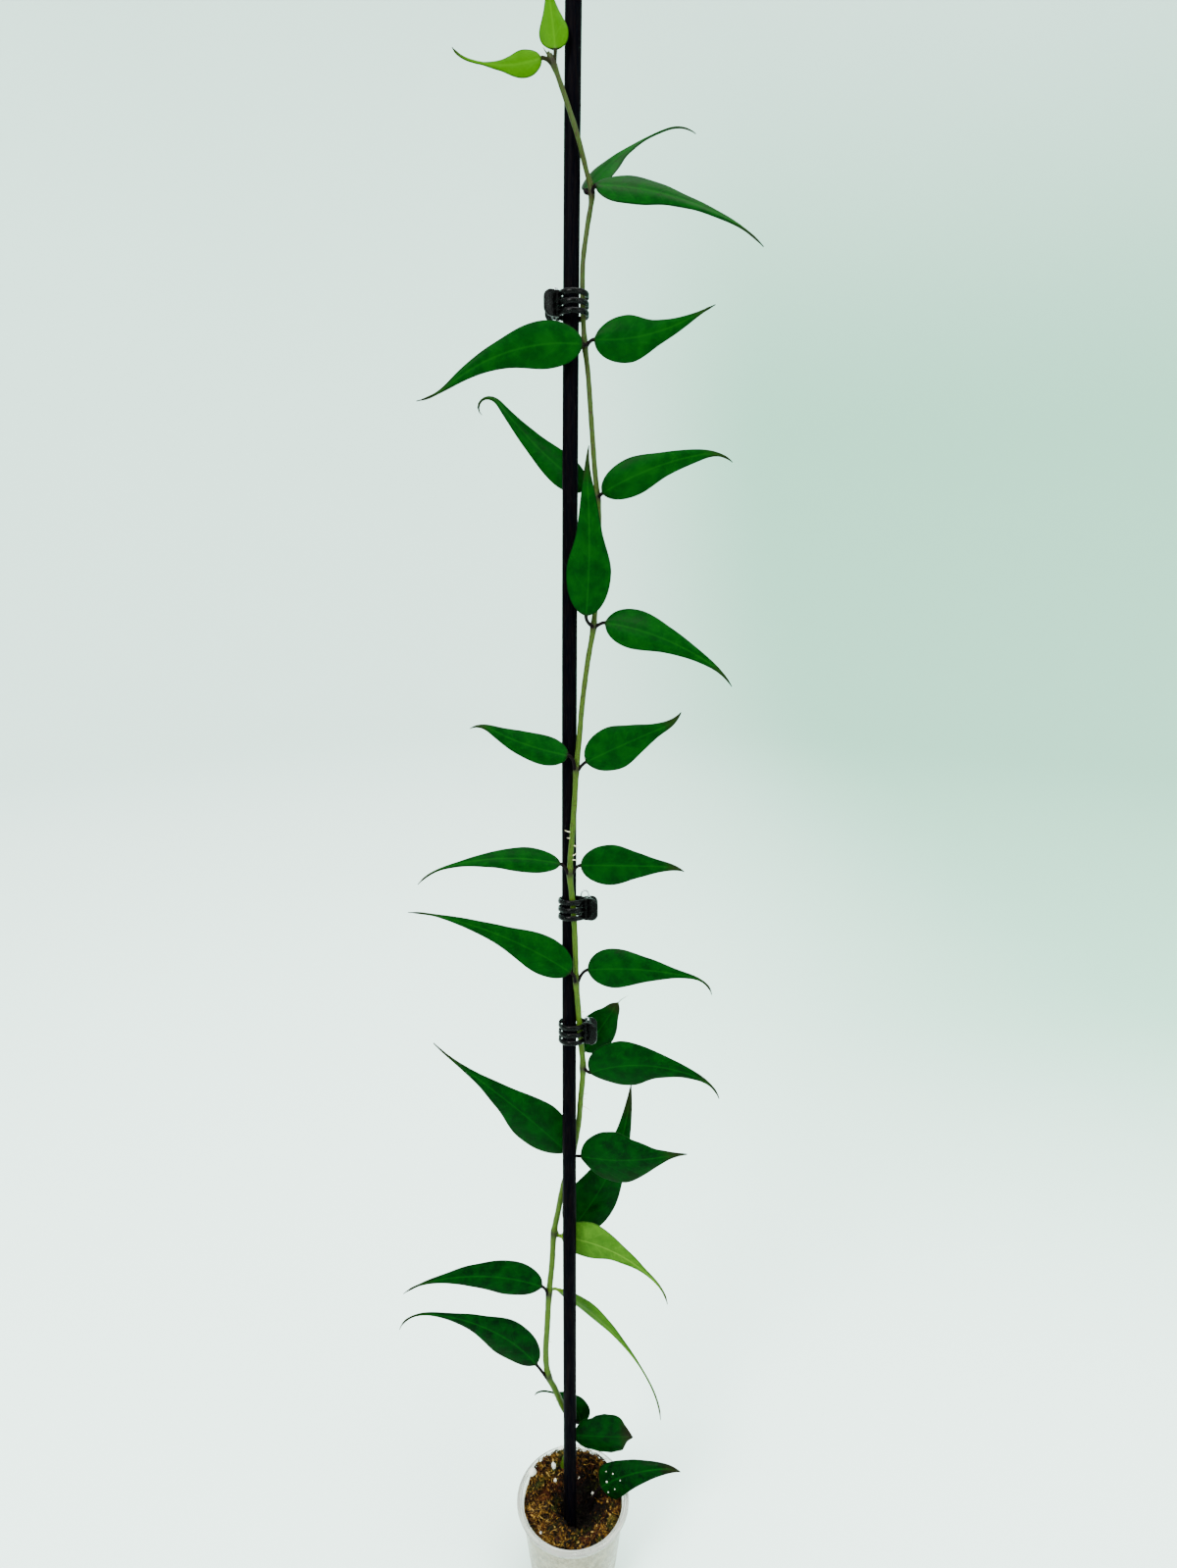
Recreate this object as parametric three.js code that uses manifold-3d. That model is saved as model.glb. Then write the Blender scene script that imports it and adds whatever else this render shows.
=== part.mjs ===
// A climbing hoya trained up a dyed bamboo stake in a small clear nursery cup filled with moss.
// Millimetres, +Z up, viewer on the -Y side, origin in the middle of the cup's flat base.
import * as THREE from 'three';
import { mergeVertices } from 'three/addons/utils/BufferGeometryUtils.js';
import Module from 'manifold-3d';

const wasm = await Module();
wasm.setup();

// Driving dimensions
const rimRadius = 26, rimTop = 54, cupBaseRadius = 18, wall = 0.9, floorThickness = 1.2;
const cupTopRadius = 24, rimBead = 0.9;
const fit = 0.3;
const stakeRadius = 2.7, stakeLength = 698, stakeLean = 4, stakeFoot = [-1.4, -3.5, 46], stakeBottom = 6;
const mossEdge = 50, mossHollow = 13, hollowRadius = 10.5, mossHeap = 3.6;
const stemFootRadius = 1.45, stemTopRadius = 0.85, nodeSwelling = 0.3;
const petioleRadius = 0.7, bladeThickness = 0.8;
const ringHalfWidth = 5.2, ringHalfDepth = 6, fingerThickness = 1.2, fingerHeight = 2.1, fingerPitch = 3.1;
const hingeReach = 6.7, jawHeight = 8.8, padLength = 4.9, padCorner = 2.8, padThickness = 1.4, padSplay = 35;

const deg = Math.PI / 180;
const v3 = (x, y, z) => new THREE.Vector3(x, y, z);
const lerp = (a, b, t) => a + (b - a) * t;
const ease = (t) => { const u = Math.min(1, Math.max(0, t)); return u * u * (3 - 2 * u); };

// Depth of the stake's axis at a height
const stakeY = (z) => stakeFoot[1] + (z - stakeFoot[2]) * Math.tan(stakeLean * deg);

// A slight bow carries the stake left at mid height and right at the top
const stakeX = (z) => stakeFoot[0] + 0.7 * (z / 700) * 2 * (1 - z / 700) + 4.2 * Math.pow(z / 700, 3);

// Triangles between matching rings of points, closed by a strip across each end
function loft(rings, flatBands) {
  const count = rings[0].length, verts = [], index = [];
  for (const ring of rings) for (const p of ring) verts.push(p.x, p.y, p.z);
  for (let i = 0; i < rings.length - 1; i++) {
    for (let k = 0; k < count; k++) {
      const a = i * count + k, b = i * count + (k + 1) % count, c = a + count, d = b + count;
      if (flatBands && k >= count / 2) index.push(a, b, c, b, d, c);
      else index.push(a, b, d, a, d, c);
    }
  }
  const last = (rings.length - 1) * count;
  for (let k = 0; k < count / 2 - 1; k++) {
    const a = k, b = k + 1, c = count - 2 - k, d = count - 1 - k;
    index.push(a, c, b, a, d, c);
    index.push(last + a, last + b, last + c, last + a, last + c, last + d);
  }
  const geometry = new THREE.BufferGeometry();
  geometry.setAttribute('position', new THREE.Float32BufferAttribute(verts, 3));
  geometry.setIndex(index);
  return outward(geometry);
}

// Turns a closed surface so that its faces look outward
function outward(geometry) {
  const p = geometry.attributes.position, idx = geometry.index.array;
  let volume = 0;
  for (let i = 0; i < idx.length; i += 3) {
    const a = v3().fromBufferAttribute(p, idx[i]), b = v3().fromBufferAttribute(p, idx[i + 1]);
    volume += a.dot(b.cross(v3().fromBufferAttribute(p, idx[i + 2])));
  }
  if (volume < 0) for (let i = 0; i < idx.length; i += 3) [idx[i], idx[i + 1]] = [idx[i + 1], idx[i]];
  return geometry;
}

// Round bar along a list of points, with a radius for each point, widened towards its start direction
function bar(points, radii, sides, start = v3(0, -1, 0), widen = 1) {
  const rings = [];
  let side = start.clone();
  points.forEach((p, i) => {
    const tangent = points[Math.min(i + 1, points.length - 1)].clone().sub(points[Math.max(i - 1, 0)]).normalize();
    side.sub(tangent.clone().multiplyScalar(side.dot(tangent))).normalize();
    const other = tangent.clone().cross(side);
    const r = Array.isArray(radii) ? radii[i] : radii, ring = [];
    for (let k = 0; k < sides; k++) {
      const a = (k + 0.5) / sides * 2 * Math.PI;
      ring.push(p.clone().addScaledVector(side, widen * r * Math.cos(a)).addScaledVector(other, r * Math.sin(a)));
    }
    rings.push(ring);
  });
  return loft(rings);
}

// Turned solid from a radius and height outline that starts and ends on the axis
function turned(outline, sides) {
  const geometry = new THREE.LatheGeometry(outline.map(([r, z]) => new THREE.Vector2(r, z)), sides);
  geometry.rotateX(Math.PI / 2);
  return clean(geometry);
}

// Joins repeated corners and drops triangles without area
function clean(geometry) {
  const g = geometry.clone();
  for (const name of ['normal', 'uv']) if (g.attributes[name]) g.deleteAttribute(name);
  const merged = mergeVertices(g, 1e-5), idx = merged.index.array, keep = [];
  for (let i = 0; i < idx.length; i += 3) {
    if (idx[i] !== idx[i + 1] && idx[i + 1] !== idx[i + 2] && idx[i] !== idx[i + 2]) keep.push(idx[i], idx[i + 1], idx[i + 2]);
  }
  merged.setIndex(keep);
  return outward(merged);
}

// Box from its low and high corners
function block(low, high) {
  const g = new THREE.BoxGeometry(high[0] - low[0], high[1] - low[1], high[2] - low[2]);
  g.translate((low[0] + high[0]) / 2, (low[1] + high[1]) / 2, (low[2] + high[2]) / 2);
  return clean(g);
}

// Solids that can be joined and cut
function toSolid(geometry) {
  const g = clean(geometry);
  const vertProperties = Float32Array.from(g.attributes.position.array), triVerts = Uint32Array.from(g.index.array);
  return new wasm.Manifold(new wasm.Mesh({ numProp: 3, vertProperties, triVerts }));
}

function fromSolid(solid) {
  const mesh = solid.getMesh(), geometry = new THREE.BufferGeometry(), points = [];
  for (let i = 0; i < mesh.vertProperties.length; i += mesh.numProp) {
    points.push(mesh.vertProperties[i], mesh.vertProperties[i + 1], mesh.vertProperties[i + 2]);
  }
  geometry.setAttribute('position', new THREE.Float32BufferAttribute(points, 3));
  geometry.setIndex(Array.from(mesh.triVerts));
  return geometry;
}

const joined = (...list) => fromSolid(list.map(toSolid).reduce((a, b) => a.add(b)));

// Materials
const makeMaterial = (color, roughness, metalness = 0) => new THREE.MeshStandardMaterial({ color, roughness, metalness });
const clearPlastic = () => makeMaterial(0xd9dcd4, 0.35);
const dampMoss = () => makeMaterial(0x6b5320, 0.95);
const dyedBamboo = () => makeMaterial(0x15121a, 0.5);
const stemGreen = () => makeMaterial(0x6d7f22, 0.6);
const leafGreen = () => makeMaterial(0x0d5a1a, 0.4);
const leafYoung = () => makeMaterial(0x7fae10, 0.45);
const leafUnder = () => makeMaterial(0x8aa63c, 0.6);
const clipBlack = () => makeMaterial(0x0c0c10, 0.3);
const springSteel = () => makeMaterial(0xb8bac0, 0.25, 1);

// Nursery cup with a flat base and a beaded rim
function cup() {
  const inner = (z) => lerp(cupBaseRadius, cupTopRadius, z / rimTop) - wall;
  return turned([
    [0, 0], [cupBaseRadius, 0], [cupBaseRadius + 0.5, 0.8],
    [lerp(cupBaseRadius, cupTopRadius, 0.5), rimTop * 0.5],
    [cupTopRadius - 0.3, rimTop - 3.4], [cupTopRadius + 0.9, rimTop - 3.2],
    [rimRadius - 0.5, rimTop - 2], [rimRadius, rimTop - rimBead], [rimRadius - 0.35, rimTop - 0.2],
    [rimRadius - 1, rimTop], [rimRadius - 1.6, rimTop - 0.5], [inner(rimTop) + 0.9, rimTop - 0.5],
    [inner(rimTop) + 0.5, rimTop - 0.1], [inner(rimTop), rimTop - 0.5],
    [inner(rimTop * 0.5), rimTop * 0.5], [inner(floorThickness), floorThickness], [0, floorThickness],
  ], 32);
}

const cupInner = (z) => lerp(cupBaseRadius, cupTopRadius, z / rimTop) - wall;

// Height of the moss, sunk to a hollow round the foot of the stake and heaped at the back
function mossTop(x, y) {
  const r = Math.hypot(x, y);
  const lumps = 1.1 * Math.sin(x * 0.55 + 1) * Math.cos(y * 0.48) + 0.6 * Math.sin(x * 1.1 - y * 0.9);
  const hollow = mossHollow * Math.exp(-Math.pow(Math.hypot(x - 3.5, (y - 3) * 0.8) / hollowRadius, 3.2));
  const back = mossHeap * ease((y - 4) / 16);
  return mossEdge + lumps * ease((22.5 - r) / 4) - hollow + back;
}

// Moss plug with plain holes for the stake, the stem and the low leaf
function mossPlug(holes) {
  const steps = [22.2, 19, 15.5, 12, 8.5, 5, 2.4], sides = 22;
  const verts = [], index = [], low = floorThickness + fit;
  const ring = (radius, height) => {
    for (let k = 0; k < sides; k++) {
      const a = k / sides * 2 * Math.PI, x = radius * Math.cos(a), y = radius * Math.sin(a);
      verts.push(x, y, height === undefined ? mossTop(x, y) : height);
    }
  };
  verts.push(0, 0, low);
  ring(cupInner(low) - fit, low);
  ring(cupInner(30) - fit, 30);
  steps.forEach((r) => ring(r));
  verts.push(0, 0, mossTop(0, 0));
  const levels = steps.length + 2, top = verts.length / 3 - 1;
  for (let k = 0; k < sides; k++) {
    const n = (k + 1) % sides;
    index.push(0, 1 + n, 1 + k);
    for (let i = 0; i < levels - 1; i++) {
      const a = 1 + i * sides + k, b = 1 + i * sides + n;
      index.push(a, b, b + sides, a, b + sides, a + sides);
    }
    const a = 1 + (levels - 1) * sides + k, b = 1 + (levels - 1) * sides + n;
    index.push(a, b, top);
  }
  const geometry = new THREE.BufferGeometry();
  geometry.setAttribute('position', new THREE.Float32BufferAttribute(verts, 3));
  geometry.setIndex(index);
  let solid = toSolid(outward(geometry));
  for (const hole of holes) solid = solid.subtract(toSolid(hole));
  return fromSolid(solid);
}

// Points up the stake's axis
function stakePath(from, to, count) {
  const path = [];
  for (let i = 0; i <= count; i++) {
    const z = lerp(from, to, i / count);
    path.push(v3(stakeX(z), stakeY(z), z));
  }
  return path;
}

// Stem through the moss and up the stake: sideways place, height, and reach in front of the stake's axis
const stemCourse = [
  [-7.5, 22, -21.2], [-7.2, 34, -20.8], [-6.6, 46, -20.2], [-3.2, 62, -16.6], [-1.2, 78, -11.6], [-1.4, 91, -8],
  [-4.6, 101, -5.2], [-8, 113, -2.6], [-10.9, 122, -0.8], [-11.8, 134, 0], [-11.1, 147, 0], [-10.2, 162.9, -2], [-8.8, 177, -3],
  [-7.9, 190.8, -4.6], [-5.9, 201.6, -5], [-3.7, 213.4, -5], [0.3, 228, -5], [2.9, 243.1, -4.2],
  [3.8, 255, -2.2], [4.9, 272, 0.2], [3.8, 287, 1.5], [3, 300, 2.7], [2.2, 312, 3.5], [2, 323, 3.7], [1.6, 335.5, 4],
  [0.6, 348.2, 4.4], [-0.1, 357.3, 4.7], [0.9, 373.3, 4.6], [1.9, 386.6, 4.3], [2.5, 398.5, 4], [3.5, 408.3, 3.2],
  [4.8, 423.2, 2], [7, 439.9, 1.4], [9.1, 452.2, 1], [10.4, 472, 0.4], [11, 493.1, 0], [10.5, 498.9, 0], [9.5, 508.6, 0],
  [8.2, 525.7, 0], [7, 541.6, 0], [5.9, 550.7, 0.4], [5.1, 566, 1.3], [5.3, 578.2, 1.3], [6.8, 588.8, 1.5],
  [8.3, 599.3, 2], [6.4, 606, 3.2], [3.9, 614.6, 4.8], [-0.5, 627, 5], [-4.7, 637.4, 5.8], [-6.3, 640.2, 6],
];

// Heights of the leaf joints, counted from the top of the plant
const joints = [637.4, 599.3, 550.7, 498.9, 452.2, 398.5, 357.3, 312, 272, 228, 190.8, 162.9, 122, 88];

const stemCurve = new THREE.CatmullRomCurve3(stemCourse.map(([x, z, fore]) => v3(x, stakeY(z) - fore, z)), false, 'centripetal');

const stemPoints = stemCurve.getSpacedPoints(66);

const stemRadiusAt = (z) => {
  const swell = Math.max(...joints.map((j) => Math.exp(-Math.pow((z - j) / 2.6, 2))));
  return lerp(stemFootRadius, stemTopRadius, Math.min(1, z / 640)) + nodeSwelling * swell;
};

// Middle of the stem at a height
function stemAt(z) {
  let best = stemPoints[0];
  for (let i = 1; i < stemPoints.length; i++) {
    const a = stemPoints[i - 1], b = stemPoints[i];
    if ((a.z - z) * (b.z - z) <= 0) best = a.clone().lerp(b, (z - a.z) / (b.z - a.z || 1));
  }
  return best;
}

const stem = () => bar(stemPoints, stemPoints.map((p, i) => (i === 66 ? 0.45 : stemRadiusAt(p.z))), 7);

// Half width of a blade along its length: a round base, then three widths on the way to the drip tip
function bladeWidth(leaf, t) {
  const { belly, taper } = leaf;
  if (t < belly) return Math.sqrt(Math.max(0, 1 - Math.pow((belly - t) / belly, 2)));
  const u = (t - belly) / (1 - belly), knots = [0, 0.33, 0.62, 0.85, 1], values = [1, ...taper, 0.02];
  const slopes = knots.map((_, i) => {
    if (i === 0) return 0;
    if (i === 4) return (values[4] - values[3]) / 0.15;
    const a = (values[i] - values[i - 1]) / (knots[i] - knots[i - 1]), b = (values[i + 1] - values[i]) / (knots[i + 1] - knots[i]);
    return a * b <= 0 ? 0 : 2 * a * b / (a + b);
  });
  let i = 0;
  while (i < 3 && u > knots[i + 1]) i++;
  const w = knots[i + 1] - knots[i], s = (u - knots[i]) / w, s2 = s * s, s3 = s2 * s;
  return (2 * s3 - 3 * s2 + 1) * values[i] + (s3 - 2 * s2 + s) * w * slopes[i]
    + (3 * s2 - 2 * s3) * values[i + 1] + (s3 - s2) * w * slopes[i + 1];
}

// Directions along, across and out of a blade
function bladeFrame(leaf, t) {
  const hook = (leaf.hook || 0) * Math.pow(Math.max(0, (t - 0.75) / 0.25), 1.5);
  const a = (leaf.aim + leaf.sweep * t + hook) * deg, o = (leaf.out + (leaf.curl || 0) * (t - 0.5)) * deg;
  const roll = (leaf.roll || 0) * deg;
  const along = v3(Math.cos(a) * Math.cos(o), -Math.sin(o), Math.sin(a) * Math.cos(o));
  const e = v3(-Math.sin(a), 0, Math.cos(a)), n = along.clone().cross(e);
  const across = e.clone().multiplyScalar(Math.cos(roll)).addScaledVector(n, Math.sin(roll));
  return { along, across, face: along.clone().cross(across) };
}

const bladeSteps = [0.02, 0.08, 0.17, 0.28, 0.4, 0.53, 0.66, 0.78, 0.87, 0.94, 1];
const bladeLanes = [-1, -0.55, 0, 0.55, 1];

// Petiole from just outside the stem to the foot of the blade, or from its root in the moss
function petioleCourse(leaf) {
  const foot = v3(...leaf.foot), first = bladeFrame(leaf, 0);
  let start = leaf.root ? v3(...leaf.root) : null;
  if (!leaf.root) {
    const height = joints[leaf.node - 1] + (leaf.lift || 0), middle = stemAt(height);
    const stemWay = stemAt(height + 1).sub(stemAt(height - 1)).normalize(), lean = foot.clone().sub(middle).normalize();
    const outwards = lean.clone().addScaledVector(stemWay, -lean.dot(stemWay)).normalize();
    const skew = Math.abs(lean.dot(stemWay));
    start = middle.clone().addScaledVector(outwards, stemRadiusAt(height) + 1.5 * fit + petioleRadius * skew);
  }
  const reach = start.distanceTo(foot);
  return { start, foot, reach, bend: foot.clone().addScaledVector(first.along, -(leaf.bow || 0.35) * reach) };
}

// Leaf: round petiole that spreads into a thin waved blade with a long tip
function leafBody(leaf) {
  const { start, bend, foot, reach } = petioleCourse(leaf), first = bladeFrame(leaf, 0);
  const curve = new THREE.QuadraticBezierCurve3(start, bend, foot), rings = [];
  const stalk = reach > 9 ? 4 : 1;
  for (let i = 0; i <= stalk; i++) {
    const p = curve.getPoint(i / (stalk + 0.2)), along = curve.getTangent(i / (stalk + 0.2));
    const across = first.across.clone().addScaledVector(along, -first.across.dot(along)).normalize();
    const face = along.clone().cross(across), ring = [];
    for (let k = 0; k < 10; k++) {
      const a = (162 - 36 * k) * deg;
      ring.push(p.clone().addScaledVector(across, petioleRadius * Math.cos(a)).addScaledVector(face, petioleRadius * Math.sin(a)));
    }
    rings.push(ring);
  }
  const middle = foot.clone();
  let before = 0;
  for (const t of bladeSteps) {
    for (let i = 1; i <= 4; i++) {
      middle.addScaledVector(bladeFrame(leaf, lerp(before, t, (i - 0.5) / 4)).along, (t - before) * leaf.length / 4);
    }
    before = t;
    const { across, face } = bladeFrame(leaf, t);
    const half = Math.max(leaf.width / 2 * bladeWidth(leaf, t), t < 0.1 ? petioleRadius : 0.45);
    const thick = t < 0.05 ? petioleRadius * 0.8 : bladeThickness / 2;
    const wave = (leaf.wave || 0.25) * Math.sin(t * 11 + leaf.node * 2.1) * ease(half / 4);
    const place = (lane, up) => middle.clone().addScaledVector(across, half * lane)
      .addScaledVector(face, up - (leaf.cup === undefined ? 0.14 : leaf.cup) * half * lane * lane + wave * lane);
    rings.push([...bladeLanes.map((l) => place(l, thick)), ...bladeLanes.slice().reverse().map((l) => place(l, -thick))]);
  }
  return loft(rings, true);
}

// Every leaf: stem joint, place of the blade's foot, length, width, and how the midrib runs in degrees.
// Aim is measured from +X towards +Z, out is towards the viewer, sweep and hook turn the tip.
const leaves = [
  { node: 1, foot: [-3.8, 31.6, 640.8], length: 27, width: 9.8, aim: 95, sweep: 7, hook: -12, out: -9, belly: 0.2, taper: [0.5, 0.16, 0.07], young: true },
  { node: 1, foot: [-8.4, 30.8, 638], length: 31.5, width: 8, aim: 196, sweep: -42, hook: -30, out: -4, belly: 0.19, taper: [0.37, 0.08, 0.05], young: true },
  { node: 2, foot: [6.2, 36.6, 601.2], length: 50.5, width: 11.5, aim: 53, sweep: -38, hook: -46, out: -18, roll: -45, belly: 0.12, taper: [0.35, 0.07, 0.04] },
  { node: 2, foot: [9.7, 30.7, 600.8], length: 62.5, width: 12, aim: -3, sweep: -33, hook: -12, out: 9, roll: -30, belly: 0.17, taper: [0.55, 0.26, 0.07] },
  { node: 3, foot: [5.2, 25.4, 550], length: 63, width: 15.8, aim: 176, sweep: 52, hook: -39, out: 5, curl: -16, belly: 0.21, taper: [0.57, 0.26, 0.06] },
  { node: 3, foot: [9.3, 29.8, 552.4], length: 44.5, width: 15.6, aim: -6, sweep: 42, hook: -10, out: 4, curl: -20, belly: 0.27, taper: [0.52, 0.23, 0.07] },
  { node: 4, foot: [6, 34.8, 502.2], length: 59.5, width: 11.8, aim: 144, sweep: -20, hook: 200, out: -12, belly: 0.18, taper: [0.63, 0.29, 0.09] },
  { node: 4, foot: [12.3, 26, 500.2], length: 50, width: 13.2, aim: 31, sweep: -28, hook: -47, out: 9, curl: -18, belly: 0.25, taper: [0.63, 0.35, 0.1] },
  { node: 5, foot: [6.3, 18.8, 456.7], length: 59.5, width: 16.5, aim: 85, sweep: 11, hook: -15, out: 2, curl: -14, belly: 0.26, taper: [0.57, 0.32, 0.11] },
  { node: 5, foot: [13.5, 22, 453.8], length: 54.5, width: 14.6, aim: -6, sweep: -35, hook: -18, out: 12, curl: -24, roll: -10, belly: 0.21, taper: [0.62, 0.28, 0.09] },
  { node: 6, foot: [-0.6, 14.6, 404.6], length: 40, width: 11.4, aim: 172, sweep: -24, hook: 65, out: -8, roll: 15, belly: 0.24, taper: [0.79, 0.41, 0.13] },
  { node: 6, foot: [6.3, 16.2, 401.6], length: 41.5, width: 17, aim: 30, sweep: -9, hook: 40, out: 5, curl: -20, belly: 0.29, taper: [0.66, 0.3, 0.13] },
  { node: 7, foot: [-3.8, 11.6, 361.8], length: 57.5, width: 10.4, aim: 164, sweep: 39, hook: 28, out: 7, roll: 43, belly: 0.22, taper: [0.63, 0.2, 0.06] },
  { node: 7, foot: [4.1, 13.4, 360.6], length: 42, width: 16, aim: 1, sweep: -9, hook: -25, out: -6, curl: -16, roll: -10, belly: 0.29, taper: [0.67, 0.33, 0.14] },
  { node: 8, foot: [0.2, 8, 317.2], length: 70, width: 15.6, aim: 146, sweep: 27, hook: 8, out: -5, roll: 10, belly: 0.18, taper: [0.52, 0.22, 0.05] },
  { node: 8, foot: [7, 10.2, 317.3], length: 53.5, width: 16, aim: 14, sweep: -32, hook: -62, out: 9, curl: -18, roll: -12, belly: 0.2, taper: [0.59, 0.19, 0.05] },
  { node: 9, foot: [8, 9, 271.5], length: 59, width: 21, aim: 34, sweep: -70, hook: -37, out: 12, curl: -16, belly: 0.26, taper: [0.54, 0.22, 0.05] },
  { node: 9, foot: [5.4, 23.3, 272.8], length: 25, width: 16, aim: 50, sweep: 2, out: -21, belly: 0.42, taper: [0.84, 0.52, 0.3] },
  { node: 10, foot: [-2.4, 19.4, 226], length: 78, width: 22, aim: 128, sweep: 17, hook: -12, out: 2, curl: -14, belly: 0.25, taper: [0.52, 0.18, 0.05] },
  { node: 10, foot: [4, 12.4, 228.8], length: 47, width: 25.5, aim: 9, sweep: 11, hook: -17, out: 15, curl: -24, belly: 0.37, taper: [0.66, 0.26, 0.08] },
  { node: 11, foot: [-1.4, 19.6, 184.6], lift: -1.8, length: 73.5, width: 22.5, aim: 46, sweep: 43, hook: -4, out: -11, belly: 0.2, taper: [0.61, 0.3, 0.13] },
  { node: 11, foot: [-4.6, 12.2, 187.8], lift: 0.4, length: 58, width: 18, aim: 0, sweep: -57, hook: -23, out: 9, belly: 0.21, taper: [0.45, 0.12, 0.05], under: true },
  { node: 12, foot: [-13.2, 4.2, 168.8], length: 62, width: 14.4, aim: 151, sweep: 48, hook: 19, out: 7, roll: 18, belly: 0.25, taper: [0.67, 0.24, 0.06] },
  { node: 12, foot: [-6, 14.6, 156.8], length: 94, width: 12.5, aim: -38, sweep: -40, hook: -8, out: -2, roll: 30, belly: 0.14, taper: [0.31, 0.07, 0.04], under: true },
  { node: 13, foot: [-16, -0.4, 131.4], length: 73, width: 16.6, aim: 120, sweep: 62, hook: 71, out: 5, roll: 12, belly: 0.26, taper: [0.45, 0.14, 0.05] },
  { node: 14, foot: [3.6, 11.6, 84.2], bow: 0.08, length: 31, width: 11.7, aim: 96, sweep: 113, hook: 42, out: -10, belly: 0.19, taper: [0.6, 0.08, 0.04] },
  { node: 14, foot: [0.8, 4.6, 85.4], length: 26.8, width: 22, aim: -2, sweep: 7, hook: -14, out: 3, belly: 0.5, taper: [0.97, 0.87, 0.3] },
  { node: 15, root: [8, 4.5, 31], foot: [13.2, 4.4, 54.3], length: 41, width: 14.7, aim: 45, sweep: -42, hook: -24, out: 6, roll: -40, belly: 0.12, taper: [0.76, 0.48, 0.23] },
];

// Clip places: height, hinge side, the ring's middle against the stake's axis, how far the front is
// tipped up, and the reach and rise of the spring's wire loop
const clips = [
  { z: 563.8, side: -1, shift: 0.8, fore: 0.8, tip: 0, loopReach: 1.1, loopRise: 0.8 },
  { z: 341.4, side: 1, shift: 1.2, fore: 0.9, tip: 8, loopReach: 3.1, loopRise: 2.2 },
  { z: 288.6, side: 1, shift: 1.2, fore: 0.8, tip: 6, loopReach: 1.4, loopRise: 0.8 },
];

// Curved fingers of one jaw, seen with the hinge on +X; front jaw reaches round -Y
function fingers(heights, way) {
  return heights.map((z) => {
    const path = [v3(hingeReach - 1.1, way * 2.2, z), v3(hingeReach - 1.9, way * 2.7, z)];
    for (let i = 0; i <= 8; i++) {
      const a = lerp(34, 178, i / 8) * deg;
      path.push(v3(ringHalfWidth * Math.cos(a), way * ringHalfDepth * Math.sin(a), z));
    }
    return bar(path, fingerThickness / 2, 8, v3(0, 0, 1), fingerHeight / fingerThickness);
  });
}

// Thumb pad with round outer corners that leans away from the other jaw
function pad(way) {
  const half = jawHeight / 2, r = padCorner, outline = new THREE.Shape();
  outline.moveTo(0, -half).lineTo(padLength - r, -half).absarc(padLength - r, r - half, r, -Math.PI / 2, 0, false)
    .lineTo(padLength, half - r).absarc(padLength - r, half - r, r, 0, Math.PI / 2, false).lineTo(0, half).closePath();
  const g = new THREE.ExtrudeGeometry(outline, { depth: padThickness, bevelEnabled: false, curveSegments: 4 });
  g.translate(0, 0, -padThickness / 2);
  g.rotateX(Math.PI / 2);
  g.rotateZ(way * padSplay * deg);
  g.translate(hingeReach - 0.7, way * 2.2, 0);
  return g;
}

// Ear round the hinge pin, reaching back to the jaw's web
function ear(way, low, high) {
  const knuckle = turned([[0, low], [1.15, low], [1.15, high], [0, high]], 10);
  knuckle.translate(hingeReach, 0, 0);
  const arm = block([hingeReach - 1, Math.min(0, way * 1.9), low], [hingeReach + 1, Math.max(0, way * 1.9), high]);
  return joined(knuckle, arm);
}

function jaw(way) {
  const web = block(way < 0 ? [hingeReach - 1.9, -3, -jawHeight / 2] : [hingeReach - 1.9, 1.5, -jawHeight / 2],
    way < 0 ? [hingeReach + 0.6, -1.5, jawHeight / 2] : [hingeReach + 0.6, 3, jawHeight / 2]);
  const heights = [-fingerPitch, 0, fingerPitch];
  const ears = way < 0 ? [[-4.3, -3.2], [3.2, 4.3]] : [[-2.9, -1.8], [1.8, 2.9]];
  const bore = turned([[0, -6], [0.72, -6], [0.72, 6], [0, 6]], 10);
  bore.translate(hingeReach, 0, 0);
  const whole = toSolid(joined(web, pad(way), ...ears.map(([a, b]) => ear(way, a, b)), ...fingers(heights, way)));
  return fromSolid(whole.subtract(toSolid(bore)));
}

// Spring with its coil on the pin and a wire loop standing above
function spring({ loopReach, loopRise }) {
  const coil = turned([[0, -4.9], [0.42, -4.9], [0.42, -1.5], [1.05, -1.35], [0.85, -0.9], [1.05, -0.45], [0.85, 0],
    [1.05, 0.45], [0.85, 0.9], [1.05, 1.35], [0.42, 1.5], [0.42, 5.1], [0, 5.1]], 8);
  const loop = [];
  for (let i = 0; i <= 7; i++) {
    const a = i / 7 * Math.PI;
    loop.push(v3(-loopReach / 2 * (1 - Math.cos(a)), 0, 4.95 + loopRise * Math.sin(a)));
  }
  const wire = bar([v3(0, 0, 4.5), ...loop], 0.32, 6);
  const whole = joined(coil, wire);
  whole.translate(hingeReach, 0, 0);
  return whole;
}

// Moves a clip piece from its own place onto the stake
function seat(geometry, clip) {
  const g = geometry.clone();
  if (clip.side < 0) {
    g.scale(-1, 1, 1);
    const idx = g.index.array;
    for (let i = 0; i < idx.length; i += 3) [idx[i], idx[i + 1]] = [idx[i + 1], idx[i]];
  }
  g.rotateX(-(stakeLean + clip.tip) * deg);
  g.translate(stakeX(clip.z) + clip.shift, stakeY(clip.z) - clip.fore, clip.z);
  return g;
}

// Sub-parts with their names and materials
const group = new THREE.Group();

function addPart(name, geometry, material) {
  const mesh = new THREE.Mesh(clean(geometry), material);
  mesh.name = name;
  mesh.geometry.computeVertexNormals();
  group.add(mesh);
}

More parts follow.
